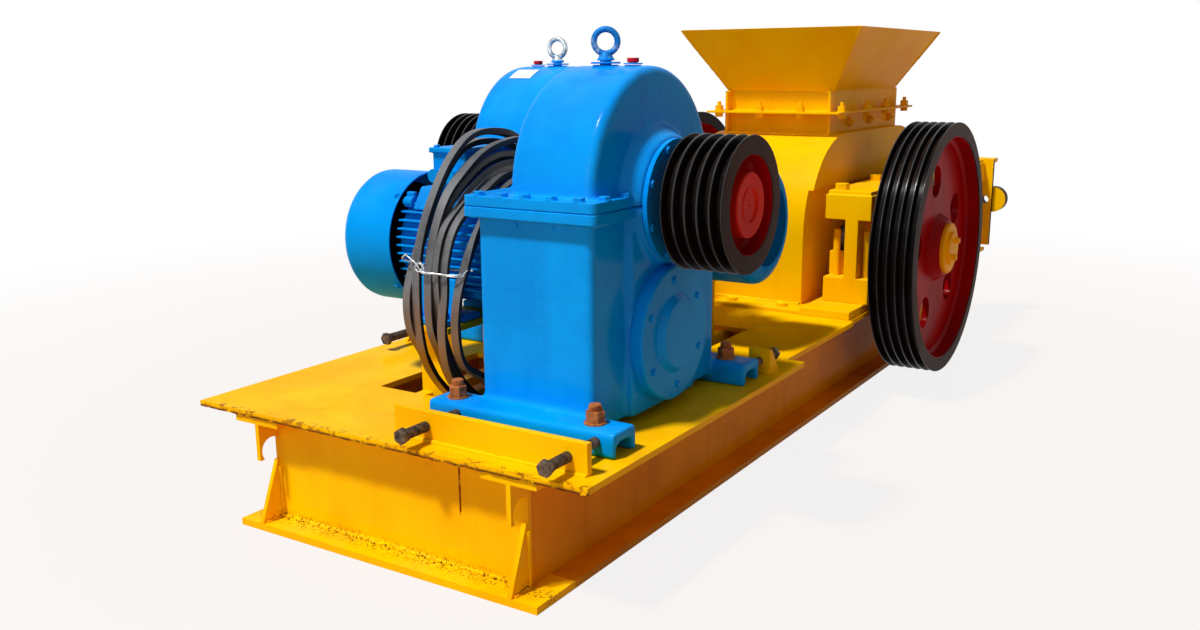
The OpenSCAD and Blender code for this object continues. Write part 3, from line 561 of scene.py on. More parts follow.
def cast_of(node, voxel=4.0, rounds=7, keep=0.45):
    """A copy of a solid as a casting, with its corners rounded and its roots filled."""
    rough = worker_of("rough", solid_of(node, False))
    grain = rough.modifiers.new("grain", "REMESH")
    grain.mode = "VOXEL"
    grain.voxel_size = voxel
    flow = rough.modifiers.new("flow", "SMOOTH")
    flow.factor = 0.5
    flow.iterations = rounds
    thin = rough.modifiers.new("thin", "DECIMATE")
    thin.ratio = keep
    return shape_after(rough)


def add_rod(bm, start, end, r, sides=32, width=0.8, r_end=None, turn=0.0):
    """A rod or cone between two points, with its end rims rounded."""
    start, end = Vector(start), Vector(end)
    along = end - start
    pose = Matrix.Translation((start + end) / 2) @ along.to_track_quat("Z", "Y").to_matrix().to_4x4()
    pose = pose @ Matrix.Rotation(turn, 4, "Z")
    made = bmesh.ops.create_cone(bm, cap_ends=True, cap_tris=False, segments=sides, radius1=r,
                                 radius2=r if r_end is None else r_end, depth=along.length,
                                 matrix=pose)["verts"]
    if width > 0:
        caps = {f for v in made for f in v.link_faces if len(f.verts) == sides}
        rims = list({e for f in caps for e in f.edges})
        round_edges(bm, rims, width)


def add_bolt(bm, at, axis, across=19.0, head=8.0, washer=True, turn=0.3):
    """A hexagonal head on its washer, standing at a point on a face."""
    at, axis = Vector(at), Vector(axis).normalized()
    if washer:
        add_rod(bm, at - axis * 0.5, at + axis * 2.5, across * 0.62, 20, 0.5)
        at = at + axis * 2.5
    add_rod(bm, at - axis * 0.5, at + axis * head, across / math.sqrt(3), 6, 0.9, turn=turn)


def join_into(bm, other):
    """Adds another bmesh's shape to this one."""
    spare = bpy.data.meshes.new("spare")
    other.to_mesh(spare)
    other.free()
    bm.from_mesh(spare)
    bpy.data.meshes.remove(spare)
    return bm


# Half length, depth and middle of the split's flanges, with the heights and the overhang
# of the lower and the upper one. A slot from the near side leaves room for the shaft.
flange_half = 218.0
flange_deep = 242.0
flange_y = -199
flange_corner_r = 10.0
flange_pair = ((544.4, 560.5, 1.4), (561.3, 577.8, 0.6))
flange_top = 577.0
shaft_slot = 70.0
slot_end = -190
for n in (1, 2):
    piece(cast_of("gearbox_case_%d" % n), "gearbox_case_%d_cast" % n, blue,
          stands_for=["gearbox_case_%d" % n], sharp=180)
    piece(cast_of("gearbox_cover_%d" % n, 4.0, 6), "gearbox_cover_%d_cast" % n, blue,
          stands_for=["gearbox_cover_%d" % n], sharp=180)
    # The split's two flanges are machined flat, with low bolts through them
    bm = bmesh.new()
    for z_low, z_high, over in flange_pair:
        side, near = flange_half + over, flange_y - flange_deep / 2 - over
        far = flange_y + flange_deep / 2 + over
        outline = [(-side, near), (-shaft_slot, near), (-shaft_slot, slot_end), (shaft_slot, slot_end),
                   (shaft_slot, near), (side, near), (side, far), (-side, far)]
        foot = bm.faces.new([bm.verts.new((x, y, z_low)) for x, y in outline])
        made = [v for v in bmesh.ops.extrude_face_region(bm, geom=[foot])["geom"]
                if isinstance(v, bmesh.types.BMVert)]
        bmesh.ops.translate(bm, verts=made, vec=(0, 0, z_high - z_low))
        posts = list({e for v in made for e in v.link_edges if abs(e.verts[0].co.z - e.verts[1].co.z) > 1
                      and abs(v.co.x) > shaft_slot + 1})
        round_edges(bm, posts, flange_corner_r, 6)
        rims = list({e for e in bm.edges if min(v.co.z for v in e.verts) > z_low - 0.1
                     and max(v.co.z for v in e.verts) < z_high + 0.1
                     and abs(e.verts[0].co.z - e.verts[1].co.z) < 0.1})
        round_edges(bm, rims, 1.6)
    bmesh.ops.recalc_face_normals(bm, faces=bm.faces)
    for x in (-209, 209):
        for y in (-104, -148, -190, -240, -288):
            add_bolt(bm, (x, y, flange_top), (0, 0, 1), 16, 4.5, turn=y * 0.1)
    for x in (-176, -118, 118, 176):
        add_bolt(bm, (x, -311, flange_top), (0, 0, 1), 16, 4.5, turn=x * 0.1)
    for y in (-168, -236):
        add_rod(bm, (-205, y, 534), (-203, y, 534), 4, 12, 0.6)
    piece(at_drive(bm, n), "split_flanges_%d_bolted" % n, blue)

# ---- Blank plate ----
# A thin white sheet-metal plate, bent to the shoulder of the second gearbox's barrel
# and riveted on a little askew.
dome_z = 581.0
plate_turn, plate_skew = 113.0, 3.0
plate_r, plate_t = 190.5, 0.8
plate_y, plate_l = 239.0, 54.0
plate_sweep = 13.0
plate = bmesh.new()
bmesh.ops.create_grid(plate, x_segments=10, y_segments=1, size=0.5)
bmesh.ops.solidify(plate, geom=plate.faces[:], thickness=0.6)
middle = sum(v.co.z for v in plate.verts) / len(plate.verts)
for v in plate.verts:
    a = math.radians(plate_turn - plate_sweep * v.co.x)
    r = plate_r + (plate_t if v.co.z > middle else 0.0)
    across = plate_y + plate_l * v.co.y + plate_skew * v.co.x
    v.co = (drive_x[2] + r * math.cos(a), across, dome_z + r * math.sin(a))
bmesh.ops.recalc_face_normals(plate, faces=plate.faces)
white = painted("white_plate_paint", "F2F4F4", "E8ECEE", dust_amount=0.0, rust_amount=0.0, gloss=0.3,
                bump=0.05)
piece(plate, "maker_plate_blank", white)

# ---- Round covers ----
# Turned iron plates held by small screws: one round the output shaft, and a lower
# one with a raised middle. Each has its screws' number, first angle and ring.
cover_screws = ((8, 22.5, 88, shaft_z), (6, 34, 89, lower_shaft_z))
cover_face_y = -338
for n in (1, 2):
    bm = soften(solid_of("bearing_caps_%d" % n, False), 2.2, 3, 30.0, 1.2)
    made = bmesh.new()
    for count, start, ring_r, z in cover_screws:
        for i in range(count):
            a = math.radians(start + 360 / count * i)
            spot = (ring_r * math.cos(a), cover_face_y, z + ring_r * math.sin(a))
            add_bolt(made, spot, (0, -1, 0), 11, 4, False)
    join_into(bm, at_drive(made, n))
    piece(bm, "bearing_caps_%d_turned" % n, blue, stands_for=["bearing_caps_%d" % n])

# ---- Lifting eyes and breathers ----
# A forged eyebolt on a round pad at the ridge of each gearbox, its foot caught by
# the blue paint, and a red plastic breather cap beside it.

# Bare and plated metals are bright in patches and dull between them, over a fine grain.
patina, patina_in, patina_out = group_of(
    "patchy_metal",
    [("Place", "vector"), ("Bright", "colour"), ("Dark", "colour"), ("Patch Scale", "value"),
     ("Patch Low", "value"), ("Patch High", "value"), ("Bright Roughness", "value"),
     ("Dark Roughness", "value")],
    [("Colour", "colour"), ("Roughness", "value"), ("Height", "value")],
)
given = patina_in.outputs
patch = ramp_of(patina, noise_of(patina, given["Place"], given["Patch Scale"], 6.0, 0.65),
                given["Patch Low"], given["Patch High"])
wire(patina, blend_of(patina, patch, given["Bright"], given["Dark"]), patina_out.inputs["Colour"])
wire(patina, ramp_of(patina, patch, 0.0, 1.0, given["Bright Roughness"], given["Dark Roughness"]),
     patina_out.inputs["Roughness"])
wire(patina, noise_of(patina, given["Place"], given["Patch Scale"], 3.0, stretch=(6, 6, 6)),
     patina_out.inputs["Height"])


def metal(title, bright, dark, rough=0.35, metallic=1.0, scale=70.0, bump=0.2, patchy=(0.42, 0.62)):
    """A bare or plated metal."""
    made = finish_of(title, patina, {"Bright": bright, "Dark": dark, "Patch Scale": scale,
                                     "Patch Low": patchy[0], "Patch High": patchy[1],
                                     "Bright Roughness": rough, "Dark Roughness": min(1.0, rough + 0.3)},
                     bump, 0.0006)
    made.node_tree.nodes["Principled BSDF"].inputs["Metallic"].default_value = metallic
    return made


zinc = metal("zinc_steel", "C9D2DA", "4E6474", 0.24, 1.0, 60.0)
zinc_blued = metal("zinc_with_blue_overspray", "9DB2BE", "0A6CB4", 0.34, 0.75, 55.0, 0.4, (0.36, 0.50))
red_plastic = painted("red_plastic", "D81E34", "B8142A", dust_amount=0.2, rust_amount=0.0, gloss=0.35,
                      bump=0.1)
ridge_z = 771.0
eye_y, plug_y = -205.0, -256.0
eye_turn = {1: math.radians(28), 2: math.radians(8)}
for n in (1, 2):
    bm = bmesh.new()
    profile = bmesh.ops.create_circle(bm, cap_ends=False, radius=5.0, segments=20,
                                      matrix=Matrix.Translation((0, 0, 19.0)))["verts"]
    # The circle stands on the ring's centre line and is spun round the X axis
    bmesh.ops.rotate(bm, verts=profile, cent=(0, 0, 19.0), matrix=Matrix.Rotation(math.pi / 2, 3, "Y"))
    bmesh.ops.rotate(bm, verts=profile, cent=(0, 0, 19.0), matrix=Matrix.Rotation(math.pi / 2, 3, "Z"))
    bmesh.ops.spin(bm, geom=bm.verts[:] + bm.edges[:], cent=(0, 0, 0), axis=(1, 0, 0),
                   angle=2 * math.pi, steps=56, use_merge=True)
    bmesh.ops.remove_doubles(bm, verts=bm.verts, dist=0.01)
    bmesh.ops.recalc_face_normals(bm, faces=bm.faces)
    bmesh.ops.rotate(bm, verts=bm.verts, cent=(0, 0, 0), matrix=Matrix.Rotation(eye_turn[n], 3, "Z"))
    bmesh.ops.translate(bm, verts=bm.verts, vec=(0, eye_y, ridge_z + 38))
    add_rod(bm, (0, eye_y, ridge_z + 12), (0, eye_y, ridge_z + 22), 13, 32, 2.0, 6.5)
    piece(at_drive(bm, n), "lifting_eye_%d_forged" % n, (zinc_blued, zinc)[n - 1],
          stands_for=["lifting_eye_%d" % n])
    bm = bmesh.new()
    add_rod(bm, (0, eye_y, ridge_z - 8), (0, eye_y, ridge_z + 1.5), 21, 48, 0.6)
    add_rod(bm, (0, eye_y, ridge_z + 3), (0, eye_y, ridge_z + 6), 24, 48, 1.0)
    add_rod(bm, (0, eye_y, ridge_z + 1), (0, eye_y, ridge_z + 8.5), 9.5, 28, 0.6)
    add_rod(bm, (0, eye_y, ridge_z + 8), (0, eye_y, ridge_z + 13), 14.5, 32, 1.8, 13)
    add_rod(bm, (0, plug_y, ridge_z - 8), (0, plug_y, ridge_z + 1), 13, 40, 0.6)
    add_rod(bm, (0, plug_y, ridge_z + 1.8), (0, plug_y, ridge_z + 4), 15.5, 40, 0.8)
    piece(at_drive(bm, n), "ridge_pads_%d" % n, blue)
    bm = bmesh.new()
    add_rod(bm, (0, plug_y, ridge_z + 3), (0, plug_y, ridge_z + 6), 7.5, 24, 0.6)
    add_rod(bm, (0, plug_y, ridge_z + 5), (0, plug_y, ridge_z + 12), 9.6, 10, 1.0)
    piece(at_drive(bm, n), "breather_cap_%d" % n, red_plastic)

# ---- Foundation nuts and jacks ----
# Each gearbox stands on four rusty nuts and studs. A yellow bar welded to the deck
# holds two dark jack bolts that push on the foot, and a bracket holds a third.
rusty = metal("rusty_steel", "BC6E30", "84441E", 0.72, 0.1, 90.0, 0.35)
dark_steel = metal("dark_bolt_steel", "6E5A45", "2E2620", 0.5, 0.6, 110.0, 0.4)
foot_x, foot_ys = 221, (-321, -58)
foot_top = 250.0
nut_across, stud_r = 26.0, 9.5
bar_near, bar_far = -376, -17
bracket_y = -359
jack_ys = (-343, -82)
jack_z, jack_r, jack_across = 234.5, 8.0, 22.0
jack_reach = {1: 345, 2: 397}


def add_box(bm, low, high, width=1.5, segments=2):
    """A box with rounded edges between two corners."""
    low, high = Vector(low), Vector(high)
    size = high - low
    fit = Matrix.Translation((low + high) / 2) @ Matrix.Diagonal((*size, 1))
    made = bmesh.ops.create_cube(bm, size=1.0, matrix=fit)["verts"]
    edges = list({e for v in made for e in v.link_edges})
    round_edges(bm, edges, min(width, min(size) * 0.45), segments)


def add_thread(bm, start, axis, turns, pitch, crest, r, sides=16):
    """The ridges of a screw thread, from a point along an axis."""
    start, axis = Vector(start), Vector(axis)
    for turn in range(turns):
        foot = start + axis * (turn * pitch)
        add_rod(bm, foot, foot + axis * crest, r, sides, 0.0)


for n in (1, 2):
    bm = bmesh.new()
    for x in (-foot_x, foot_x):
        for y in foot_ys:
            add_rod(bm, (x, y, foot_top - 1), (x, y, foot_top + 2.5), 17.5, 28, 0.6)
            add_rod(bm, (x, y, foot_top + 2), (x, y, foot_top + 20), nut_across / math.sqrt(3), 6, 1.1,
                    turn=0.4 + x * 0.01)
            add_rod(bm, (x, y, foot_top + 18), (x, y, foot_top + 30), stud_r, 24, 1.8)
            add_thread(bm, (x, y, foot_top + 21), (0, 0, 1), 3, 2.4, 1.3, stud_r + 0.6, 20)
    piece(at_drive(bm, n), "foundation_nuts_%d" % n, rusty)
    bm = bmesh.new()
    add_box(bm, (-328, bar_near, deck_z), (-316, bar_far, deck_z + 49), 1.2)
    for x, seed in ((-329, 4), (-315, 5)):
        add_weld(bm, (x, bar_near + 1, deck_z + 1), (x, bar_far - 1, deck_z + 1), 3.5, seed)
    add_box(bm, (285, -381, deck_z), (295, -337, deck_z + 48), 1.2)
    # Two gussets hold the bracket's plate, cut down at a slant
    for y in (bracket_y - 18, bracket_y + 18):
        made = bmesh.ops.create_cube(bm, size=1.0, matrix=Matrix.Translation((310, y, deck_z + 22))
                                     @ Matrix.Diagonal((32, 8, 44, 1)))["verts"]
        for v in made:
            if v.co.x > 310 and v.co.z > deck_z + 22:
                v.co.z = deck_z + 2
    piece(at_drive(bm, n), "jack_bars_%d" % n, yellow,
          stands_for=["jack_plates_%d" % n])
    bm = bmesh.new()
    for y in jack_ys:
        add_rod(bm, (-378, y, jack_z), (-254, y, jack_z), jack_r, 24, 0.8)
        add_thread(bm, (-376, y, jack_z), (1, 0, 0), 24, 2.0, 1.1, jack_r + 0.5)
        add_rod(bm, (-388, y, jack_z), (-377, y, jack_z), jack_across / math.sqrt(3), 6, 1.0, turn=0.2 + y)
    head = jack_reach[n]
    add_rod(bm, (254, bracket_y, jack_z), (head + 1, bracket_y, jack_z), jack_r, 24, 0.8)
    add_thread(bm, (300, bracket_y, jack_z), (1, 0, 0), int((head - 300) / 2), 2.0, 1.1, jack_r + 0.5)
    add_rod(bm, (head, bracket_y, jack_z), (head + 10, bracket_y, jack_z), jack_across / math.sqrt(3), 6, 1.0,
            turn=0.5)
    piece(at_drive(bm, n), "jack_bolts_%d" % n, dark_steel)

# ---- Motors ----
# Fan-cooled motors in rolled and cast shells, painted a shade darker than the
# gearboxes. The frame is a finned barrel with feet and a saddle for its terminal box.
blue_sheet = painted("blue_motor_paint", "0098F2", "0080D8", "7FB0D8", 0.18, "4A3A2E", 0.10, 0.34, 0.3)
motor_z = 464.0
stool_top = motor_z - 132.0
barrel_r = 91.0
barrel_near, barrel_far = -44, 172
fin_r = 106.0
fin_half = 1.7
fin_near, fin_far = barrel_near + 14, barrel_far - 3
side_fin_pitch, low_fin_pitch = 14.4, 13.0
foot_near, foot_far = 44, 134
shield_bolt_r, ear_r = 84.0, 105.0
saddle_low, saddle_high, saddle_taper = motor_z + 62, motor_z + 101, 0.30
for n in (1, 2):
    bm = bmesh.new()
    add_rod(bm, (0, barrel_near, motor_z), (0, barrel_far, motor_z), barrel_r, 96, 1.0)
    add_rod(bm, (0, barrel_near, motor_z), (0, barrel_near + 17, motor_z), 103, 96, 4.0)
    for i in range(-5, 6):
        half, level = math.sqrt(fin_r ** 2 - (i * side_fin_pitch) ** 2), motor_z + i * side_fin_pitch
        add_box(bm, (-half, fin_near, level - fin_half), (half, fin_far, level + fin_half), 1.4)
    for i in range(-4, 5):
        half, x = math.sqrt(fin_r ** 2 - (i * low_fin_pitch) ** 2), i * low_fin_pitch
        add_box(bm, (x - fin_half, fin_near, motor_z - half), (x + fin_half, fin_far, motor_z), 1.4)
    # Saddle under the terminal box, narrower at its top
    saddle = bmesh.new()
    add_box(saddle, (-85, 18, saddle_low), (85, 146, saddle_high), 4.0, 3)
    for v in saddle.verts:
        v.co.x *= 1.0 - saddle_taper * (v.co.z - saddle_low) / (saddle_high - saddle_low)
    join_into(bm, saddle)
    for s in (-1, 1):
        # A foot's plate and the web that carries the barrel on it
        for a, b, low, high in ((30, 126, 0, 12), (80, 96, 2, 80)):
            add_box(bm, (min(s * a, s * b), foot_near, stool_top + low),
                    (max(s * a, s * b), foot_far, stool_top + high), 3.0, 3)
        for y in (58, 120):
            add_bolt(bm, (s * 112, y, stool_top + 12), (0, 0, 1), 16, 8)
    for a in (45, -45, 135, -135):
        c, d = math.cos(math.radians(a)), math.sin(math.radians(a))
        add_bolt(bm, (shield_bolt_r * c, barrel_near, motor_z + shield_bolt_r * d), (0, -1, 0), 13, 6)
        # Ears for the through bolts of the end shields
        x, z = ear_r * c, motor_z + ear_r * d
        add_rod(bm, (x, 148, z), (x, 168, z), 10, 20, 2.0)
        add_rod(bm, (x, 167, z), (x, 174, z), 6, 6, 0.8)
    # Lifting lug beside the terminal box
    add_box(bm, (-74, 150, motor_z + 74), (-64, 168, motor_z + 92), 3.0, 3)
    piece(at_drive(bm, n), "motor_frame_%d_finned" % n, blue_sheet,
          stands_for=["motor_frame_%d" % n])

# ---- Fan cowls ----
# Pressed sheet round each motor's fan, held by four screws, with a wire mesh over its
# open end. The fan is a plate with straight blades on the motor's shaft.
def turned(points, at, steps=96, angle=2 * math.pi):
    """A ring turned about the Y axis, from a closed outline of radius and place along Y."""
    bm = bmesh.new()
    verts = [bm.verts.new((r, y, 0)) for r, y in points]
    for a, b in zip(verts, verts[1:] + verts[:1]):
        bm.edges.new((a, b))
    bmesh.ops.spin(bm, geom=bm.verts[:] + bm.edges[:], cent=(0, 0, 0), axis=(0, 1, 0),
                   angle=angle, steps=steps, use_merge=True)
    bmesh.ops.remove_doubles(bm, verts=bm.verts, dist=0.01)
    bmesh.ops.recalc_face_normals(bm, faces=bm.faces)
    bmesh.ops.translate(bm, verts=bm.verts, vec=at)
    return bm


dark_inside = painted("dark_inside", "0A1420", "060A10", dust_amount=0.3, rust_amount=0.0, gloss=0.6,
                      bump=0.1, coat=0.0)
mesh_r = 86.0
mesh_y = 293.6
mesh_cells = 28
mesh_wire = 1.1
screw_y = 181.0
blades = 9
for n in (1, 2):
    bm = turned([(118, 0), (120.4, -0.4), (121, 0.6), (121, 97), (119.6, 104.5), (115.5, 111),
                 (108, 116.6), (99, 120.6), (91, 122.8), (86, 123.6), (83.6, 122.4), (83.8, 120.4),
                 (88, 119.8), (98, 117.4), (107, 113.2), (113.6, 108), (117, 103), (118.4, 97)],
                (0, barrel_far, motor_z), 128)
    web = bmesh.new()
    bmesh.ops.create_grid(web, x_segments=mesh_cells, y_segments=mesh_cells, size=mesh_r)
    outside = [f for f in web.faces if f.calc_center_median().length > mesh_r - 1]
    bmesh.ops.delete(web, geom=outside, context="FACES")
    for v in web.verts:
        if any(len(e.link_faces) == 1 for e in v.link_edges):
            v.co *= mesh_r / v.co.length
    bmesh.ops.rotate(web, verts=web.verts, cent=(0, 0, 0), matrix=Matrix.Rotation(math.radians(20), 3, "Z"))
    bmesh.ops.rotate(web, verts=web.verts, cent=(0, 0, 0), matrix=Matrix.Rotation(math.radians(90), 3, "X"))
    bmesh.ops.translate(web, verts=web.verts, vec=(0, mesh_y, motor_z))
    bmesh.ops.wireframe(web, faces=web.faces, thickness=mesh_wire, use_replace=True, use_boundary=False,
                        use_even_offset=False)
    join_into(bm, web)
    add_rod(bm, (0, 291, motor_z), (0, 295.5, motor_z), 20, 48, 1.5)
    for a in (45, 135, 219, 321):
        c, d = math.cos(math.radians(a)), math.sin(math.radians(a))
        for foot, top, r, sides, width in ((117, 122.4, 6.5, 20, 0.5), (121, 124.8, 4.2, 16, 1.2)):
            add_rod(bm, (foot * c, screw_y, motor_z + foot * d), (top * c, screw_y, motor_z + top * d),
                    r, sides, width)
    piece(at_drive(bm, n), "fan_cowl_%d" % n, blue_sheet,
          stands_for=["fan_cover_%d" % n])
    bm = bmesh.new()
    add_rod(bm, (0, 170, motor_z), (0, 176, motor_z), 96, 64, 2.0)
    add_rod(bm, (0, 176, motor_z), (0, 272, motor_z), 22, 32, 2.0)
    add_rod(bm, (0, 226, motor_z), (0, 229, motor_z), 100, 64, 0.8)
    for i in range(blades):
        a = 2 * math.pi * i / blades
        blade = bmesh.new()
        add_box(blade, (26, 229, -2), (98, 268, 2), 1.0)
        bmesh.ops.rotate(blade, verts=blade.verts, cent=(0, 0, 0), matrix=Matrix.Rotation(a, 3, "Y"))
        bmesh.ops.translate(blade, verts=blade.verts, vec=(0, 0, motor_z))
        join_into(bm, blade)
    piece(at_drive(bm, n), "fan_wheel_%d" % n, dark_inside)

# ---- Terminal boxes, stools and guards ----
# The terminal box has a screwed lid and two glands. The stool under the motor is welded
# from flat bar, and the coupling's guard is rolled sheet with two bands.
lid_z, gland_z = motor_z + 171, motor_z + 124
guard_near, guard_r = -81, 63.5
for n in (1, 2):
    bm = soften(solid_of("terminal_box_%d" % n, False), 2.2, 3, 40.0, 1.5)
    made = bmesh.new()
    for x in (-60, 60):
        for y in (43, 105):
            add_bolt(made, (x, y, lid_z), (0, 0, 1), 10, 4, False)
    for y in (57, 91):
        add_rod(made, (-66, y, gland_z), (-72, y, gland_z), 14, 6, 1.0)
        add_rod(made, (-78, y, gland_z), (-86, y, gland_z), 13.4, 6, 1.0)
    join_into(bm, at_drive(made, n))
    piece(bm, "terminal_box_%d_lidded" % n, blue_sheet,
          stands_for=["terminal_box_%d" % n])
    piece(soften(solid_of("motor_stool_%d" % n, False), 1.5, 2, 50.0, 3.0), "motor_stool_%d_welded" % n,
          yellow, stands_for=["motor_stool_%d" % n])
    bm = bmesh.new()
    add_rod(bm, (0, guard_near, motor_z), (0, barrel_near, motor_z), guard_r, 64, 2.0)
    for y in (guard_near + 5, barrel_near - 6):
        add_rod(bm, (0, y, motor_z), (0, y + 4, motor_z), guard_r + 0.5, 64, 0.6)
    piece(at_drive(bm, n), "coupling_guard_%d_rolled" % n, blue_sheet,
          stands_for=["coupling_guard_%d" % n])

# ---- Small pulleys ----
# Turned iron V-belt pulleys on the gearboxes' output shafts. The grooves are black, the
# lands between them nearly bare, and the dished middles red.
black = painted("black_rim_paint", "0D0C0E", "16100C", "6B4A2C", 0.30, "4A301C", 0.35, 0.34, 0.3)
rim_land = painted("rim_land_paint", "34383C", "1C1A1A", "6B5A48", 0.30, "5C4028", 0.45, 0.26, 0.5, 0.0008,
                   0.5)
rim_face = painted("rim_face_paint", "3C2212", "2A180E", "6B4A2C", 0.20, "5C3218", 0.4, 0.42, 0.3)
red = painted("red_web_paint", "A80408", "820406", "7A4A34", 0.06, "4A1A10", 0.25, 0.34, 0.3)
orange_red = painted("hub_paint", "D8240A", "B81C08", "8A5A3A", 0.04, "4A1A10", 0.2, 0.34, 0.35)
shaft_steel = metal("shaft_steel", "A9ACB0", "6A6560", 0.32, 1.0, 40.0)
pulley_w = 103.2
pulley_y = 416.0
grooves, groove_pitch = 5, 20.3
drive_r, driven_r = 107.0, 300.0


def grooved(r, inner, lip=0.0):
    """Closed outline of a grooved rim, from its outer face inwards."""
    points = [(inner, lip), (inner + lip, 0.0), (r - 2.2, 0.0), (r - 0.6, 0.6), (r, 2.2)]
    for i in range(grooves):
        middle = 11 + i * groove_pitch
        points += [(r, middle - 9.2), (r - 1.3, middle - 8.1), (r - 15, middle - 5.4),
                   (r - 15, middle + 5.4), (r - 1.3, middle + 8.1), (r, middle + 9.2)]
    return points + [(r, pulley_w - 1.2), (r - 1.2, pulley_w), (inner, pulley_w)]


def mark_rim(bm, r, y0):
    """Gives the lands and the outer face of a rim turned about Y their own paint."""
    for f in bm.faces:
        spot = f.calc_center_median()
        if all(v.co.y < y0 + 0.7 for v in f.verts):
            f.material_index = 2
        elif math.hypot(spot.x, spot.z) > r - 0.9:
            f.material_index = 1
    return bm


for n in (1, 2):
    body = "small_pulley_%d" % n
    y0 = -pulley_y - pulley_w / 2
    rim = mark_rim(turned(grooved(drive_r, 77.5, 1.2), (0, y0, 0), 128), drive_r, y0)
    bmesh.ops.translate(rim, verts=rim.verts, vec=(0, 0, shaft_z))
    piece(at_drive(rim, n), "drive_pulley_%d_rim" % n, black, body,
          ["drive_pulley_%d" % n], sharp=30, also=[rim_land, rim_face])
    dish = turned([(48, 30), (77.8, 30), (77.8, 100), (28, 100), (28, 95), (48, 60)], (0, y0, shaft_z), 96)
    join_into(dish, turned([(77.9, 1.0), (77.0, 1.4), (75.5, 24), (71, 30.4), (77.9, 31)],
                           (0, y0, shaft_z), 112))
    piece(at_drive(dish, n), "drive_pulley_%d_dish" % n, red, body, sharp=30)
    # The hub's face has a raised ring, a sunk middle and the shaft's centre mark
    hub = turned([(0.01, 7.5), (1.6, 6.6), (2.6, 4.9), (24, 5.0), (25, 4.4), (26.4, 1.8), (28.2, 1.6),
                  (29.4, 3.0), (48.6, 2.4), (50.6, 4.2), (51.4, 29), (54, 31), (0.01, 33)],
                 (0, y0, shaft_z), 96)
    piece(at_drive(hub, n), "drive_pulley_%d_hub" % n, orange_red, body, sharp=30)
    bm = bmesh.new()
    add_rod(bm, (0, y0 + 40, shaft_z), (0, -262, shaft_z), 28, 48, 1.5)
    piece(at_drive(bm, n), "output_shaft_%d" % n, shaft_steel, body)

# ---- Large pulleys and rolls ----
# Cast and turned pulleys with a red pan cut through by round holes, keyed to the fluted
# rolls' shafts. A yellow cap covers each hub, held by two screws.
crusher_x = 482.0
roll_z = 336.0
driven_y = 424.0
roll_pitch = 324.0
hole_ring_r, hole_r, holes = 165.0, 38.0, 5
roll_steel = metal("roll_steel", "8C8F93", "4A4B4E", 0.4, 1.0, 30.0)
cap_yellow = painted("cap_yellow_paint", "FFBE00", "F0A000", dust_amount=0.1, rust_amount=0.3)
for n in (1, 2):
    body = "roll_%d" % n
    axis_x = crusher_x + (n - 1.5) * roll_pitch
    turn = Matrix.Translation((axis_x, 0, roll_z)) @ Matrix.Rotation(math.pi * (n - 1), 4, "Z")
    y0 = -driven_y - pulley_w / 2
    rim = mark_rim(turned(grooved(driven_r, 267.0, 2.0), (0, y0, 0), 192), driven_r, y0)
    bmesh.ops.transform(rim, matrix=turn, verts=rim.verts)
    piece(rim, "driven_pulley_%d_rim" % n, black, body, ["driven_pulley_%d" % n], sharp=30,
          also=[rim_land, rim_face])
    # The pan: rim liner, web and hub in one turning, then the holes are cut
    pan = turned([(267.4, 2.2), (265.5, 2.0), (264, 29), (256, 35), (92, 35), (82, 33), (70, 14), (67, 10),
                  (34, 10), (34, 103), (66, 103), (68, 60), (76, 51), (256, 51), (264, 56),
                  (265.5, 101), (267.4, 101)], (0, y0, 0), 144)
    drill = bmesh.new()
    for i in range(holes):
        a = math.radians(28.8 + 360 / holes * i)
        x, z = hole_ring_r * math.cos(a), hole_ring_r * math.sin(a)
        add_rod(drill, (x, y0 + 20, z), (x, y0 + 70, z), hole_r, 48, 0.0)
    blank, drill = worker_of("pan", pan), worker_of("drill", drill)
    cut = blank.modifiers.new("holes", "BOOLEAN")
    cut.object = drill
    cut.operation = "DIFFERENCE"
    cut.solver = "EXACT"
    pan = shape_after(blank, drill)
    bmesh.ops.transform(pan, matrix=turn, verts=pan.verts)
    piece(pan, "driven_pulley_%d_pan" % n, red, body, sharp=30)
    cap = turned([(0.01, -7.6), (38, -7.6), (40, -5.6), (40.6, -0.4), (58, 0), (61, 3), (61, 33), (0.01, 33)],
                 (0, y0, 0), 80)
    add_bolt(cap, (12, y0 - 7.8, 18), (0, -1, 0), 13, 7)
    add_bolt(cap, (-8, y0 - 7.8, -20), (0, -1, 0), 13, 7, turn=0.7)
    bmesh.ops.transform(cap, matrix=turn, verts=cap.verts)
    piece(cap, "hub_cap_%d" % n, cap_yellow, body, sharp=35)
    piece(soften(solid_of("crushing_roll_%d" % n, False), 1.2, 2, 40.0, 2.0), "crushing_roll_%d_fluted" % n,
          roll_steel, body, ["crushing_roll_%d" % n])
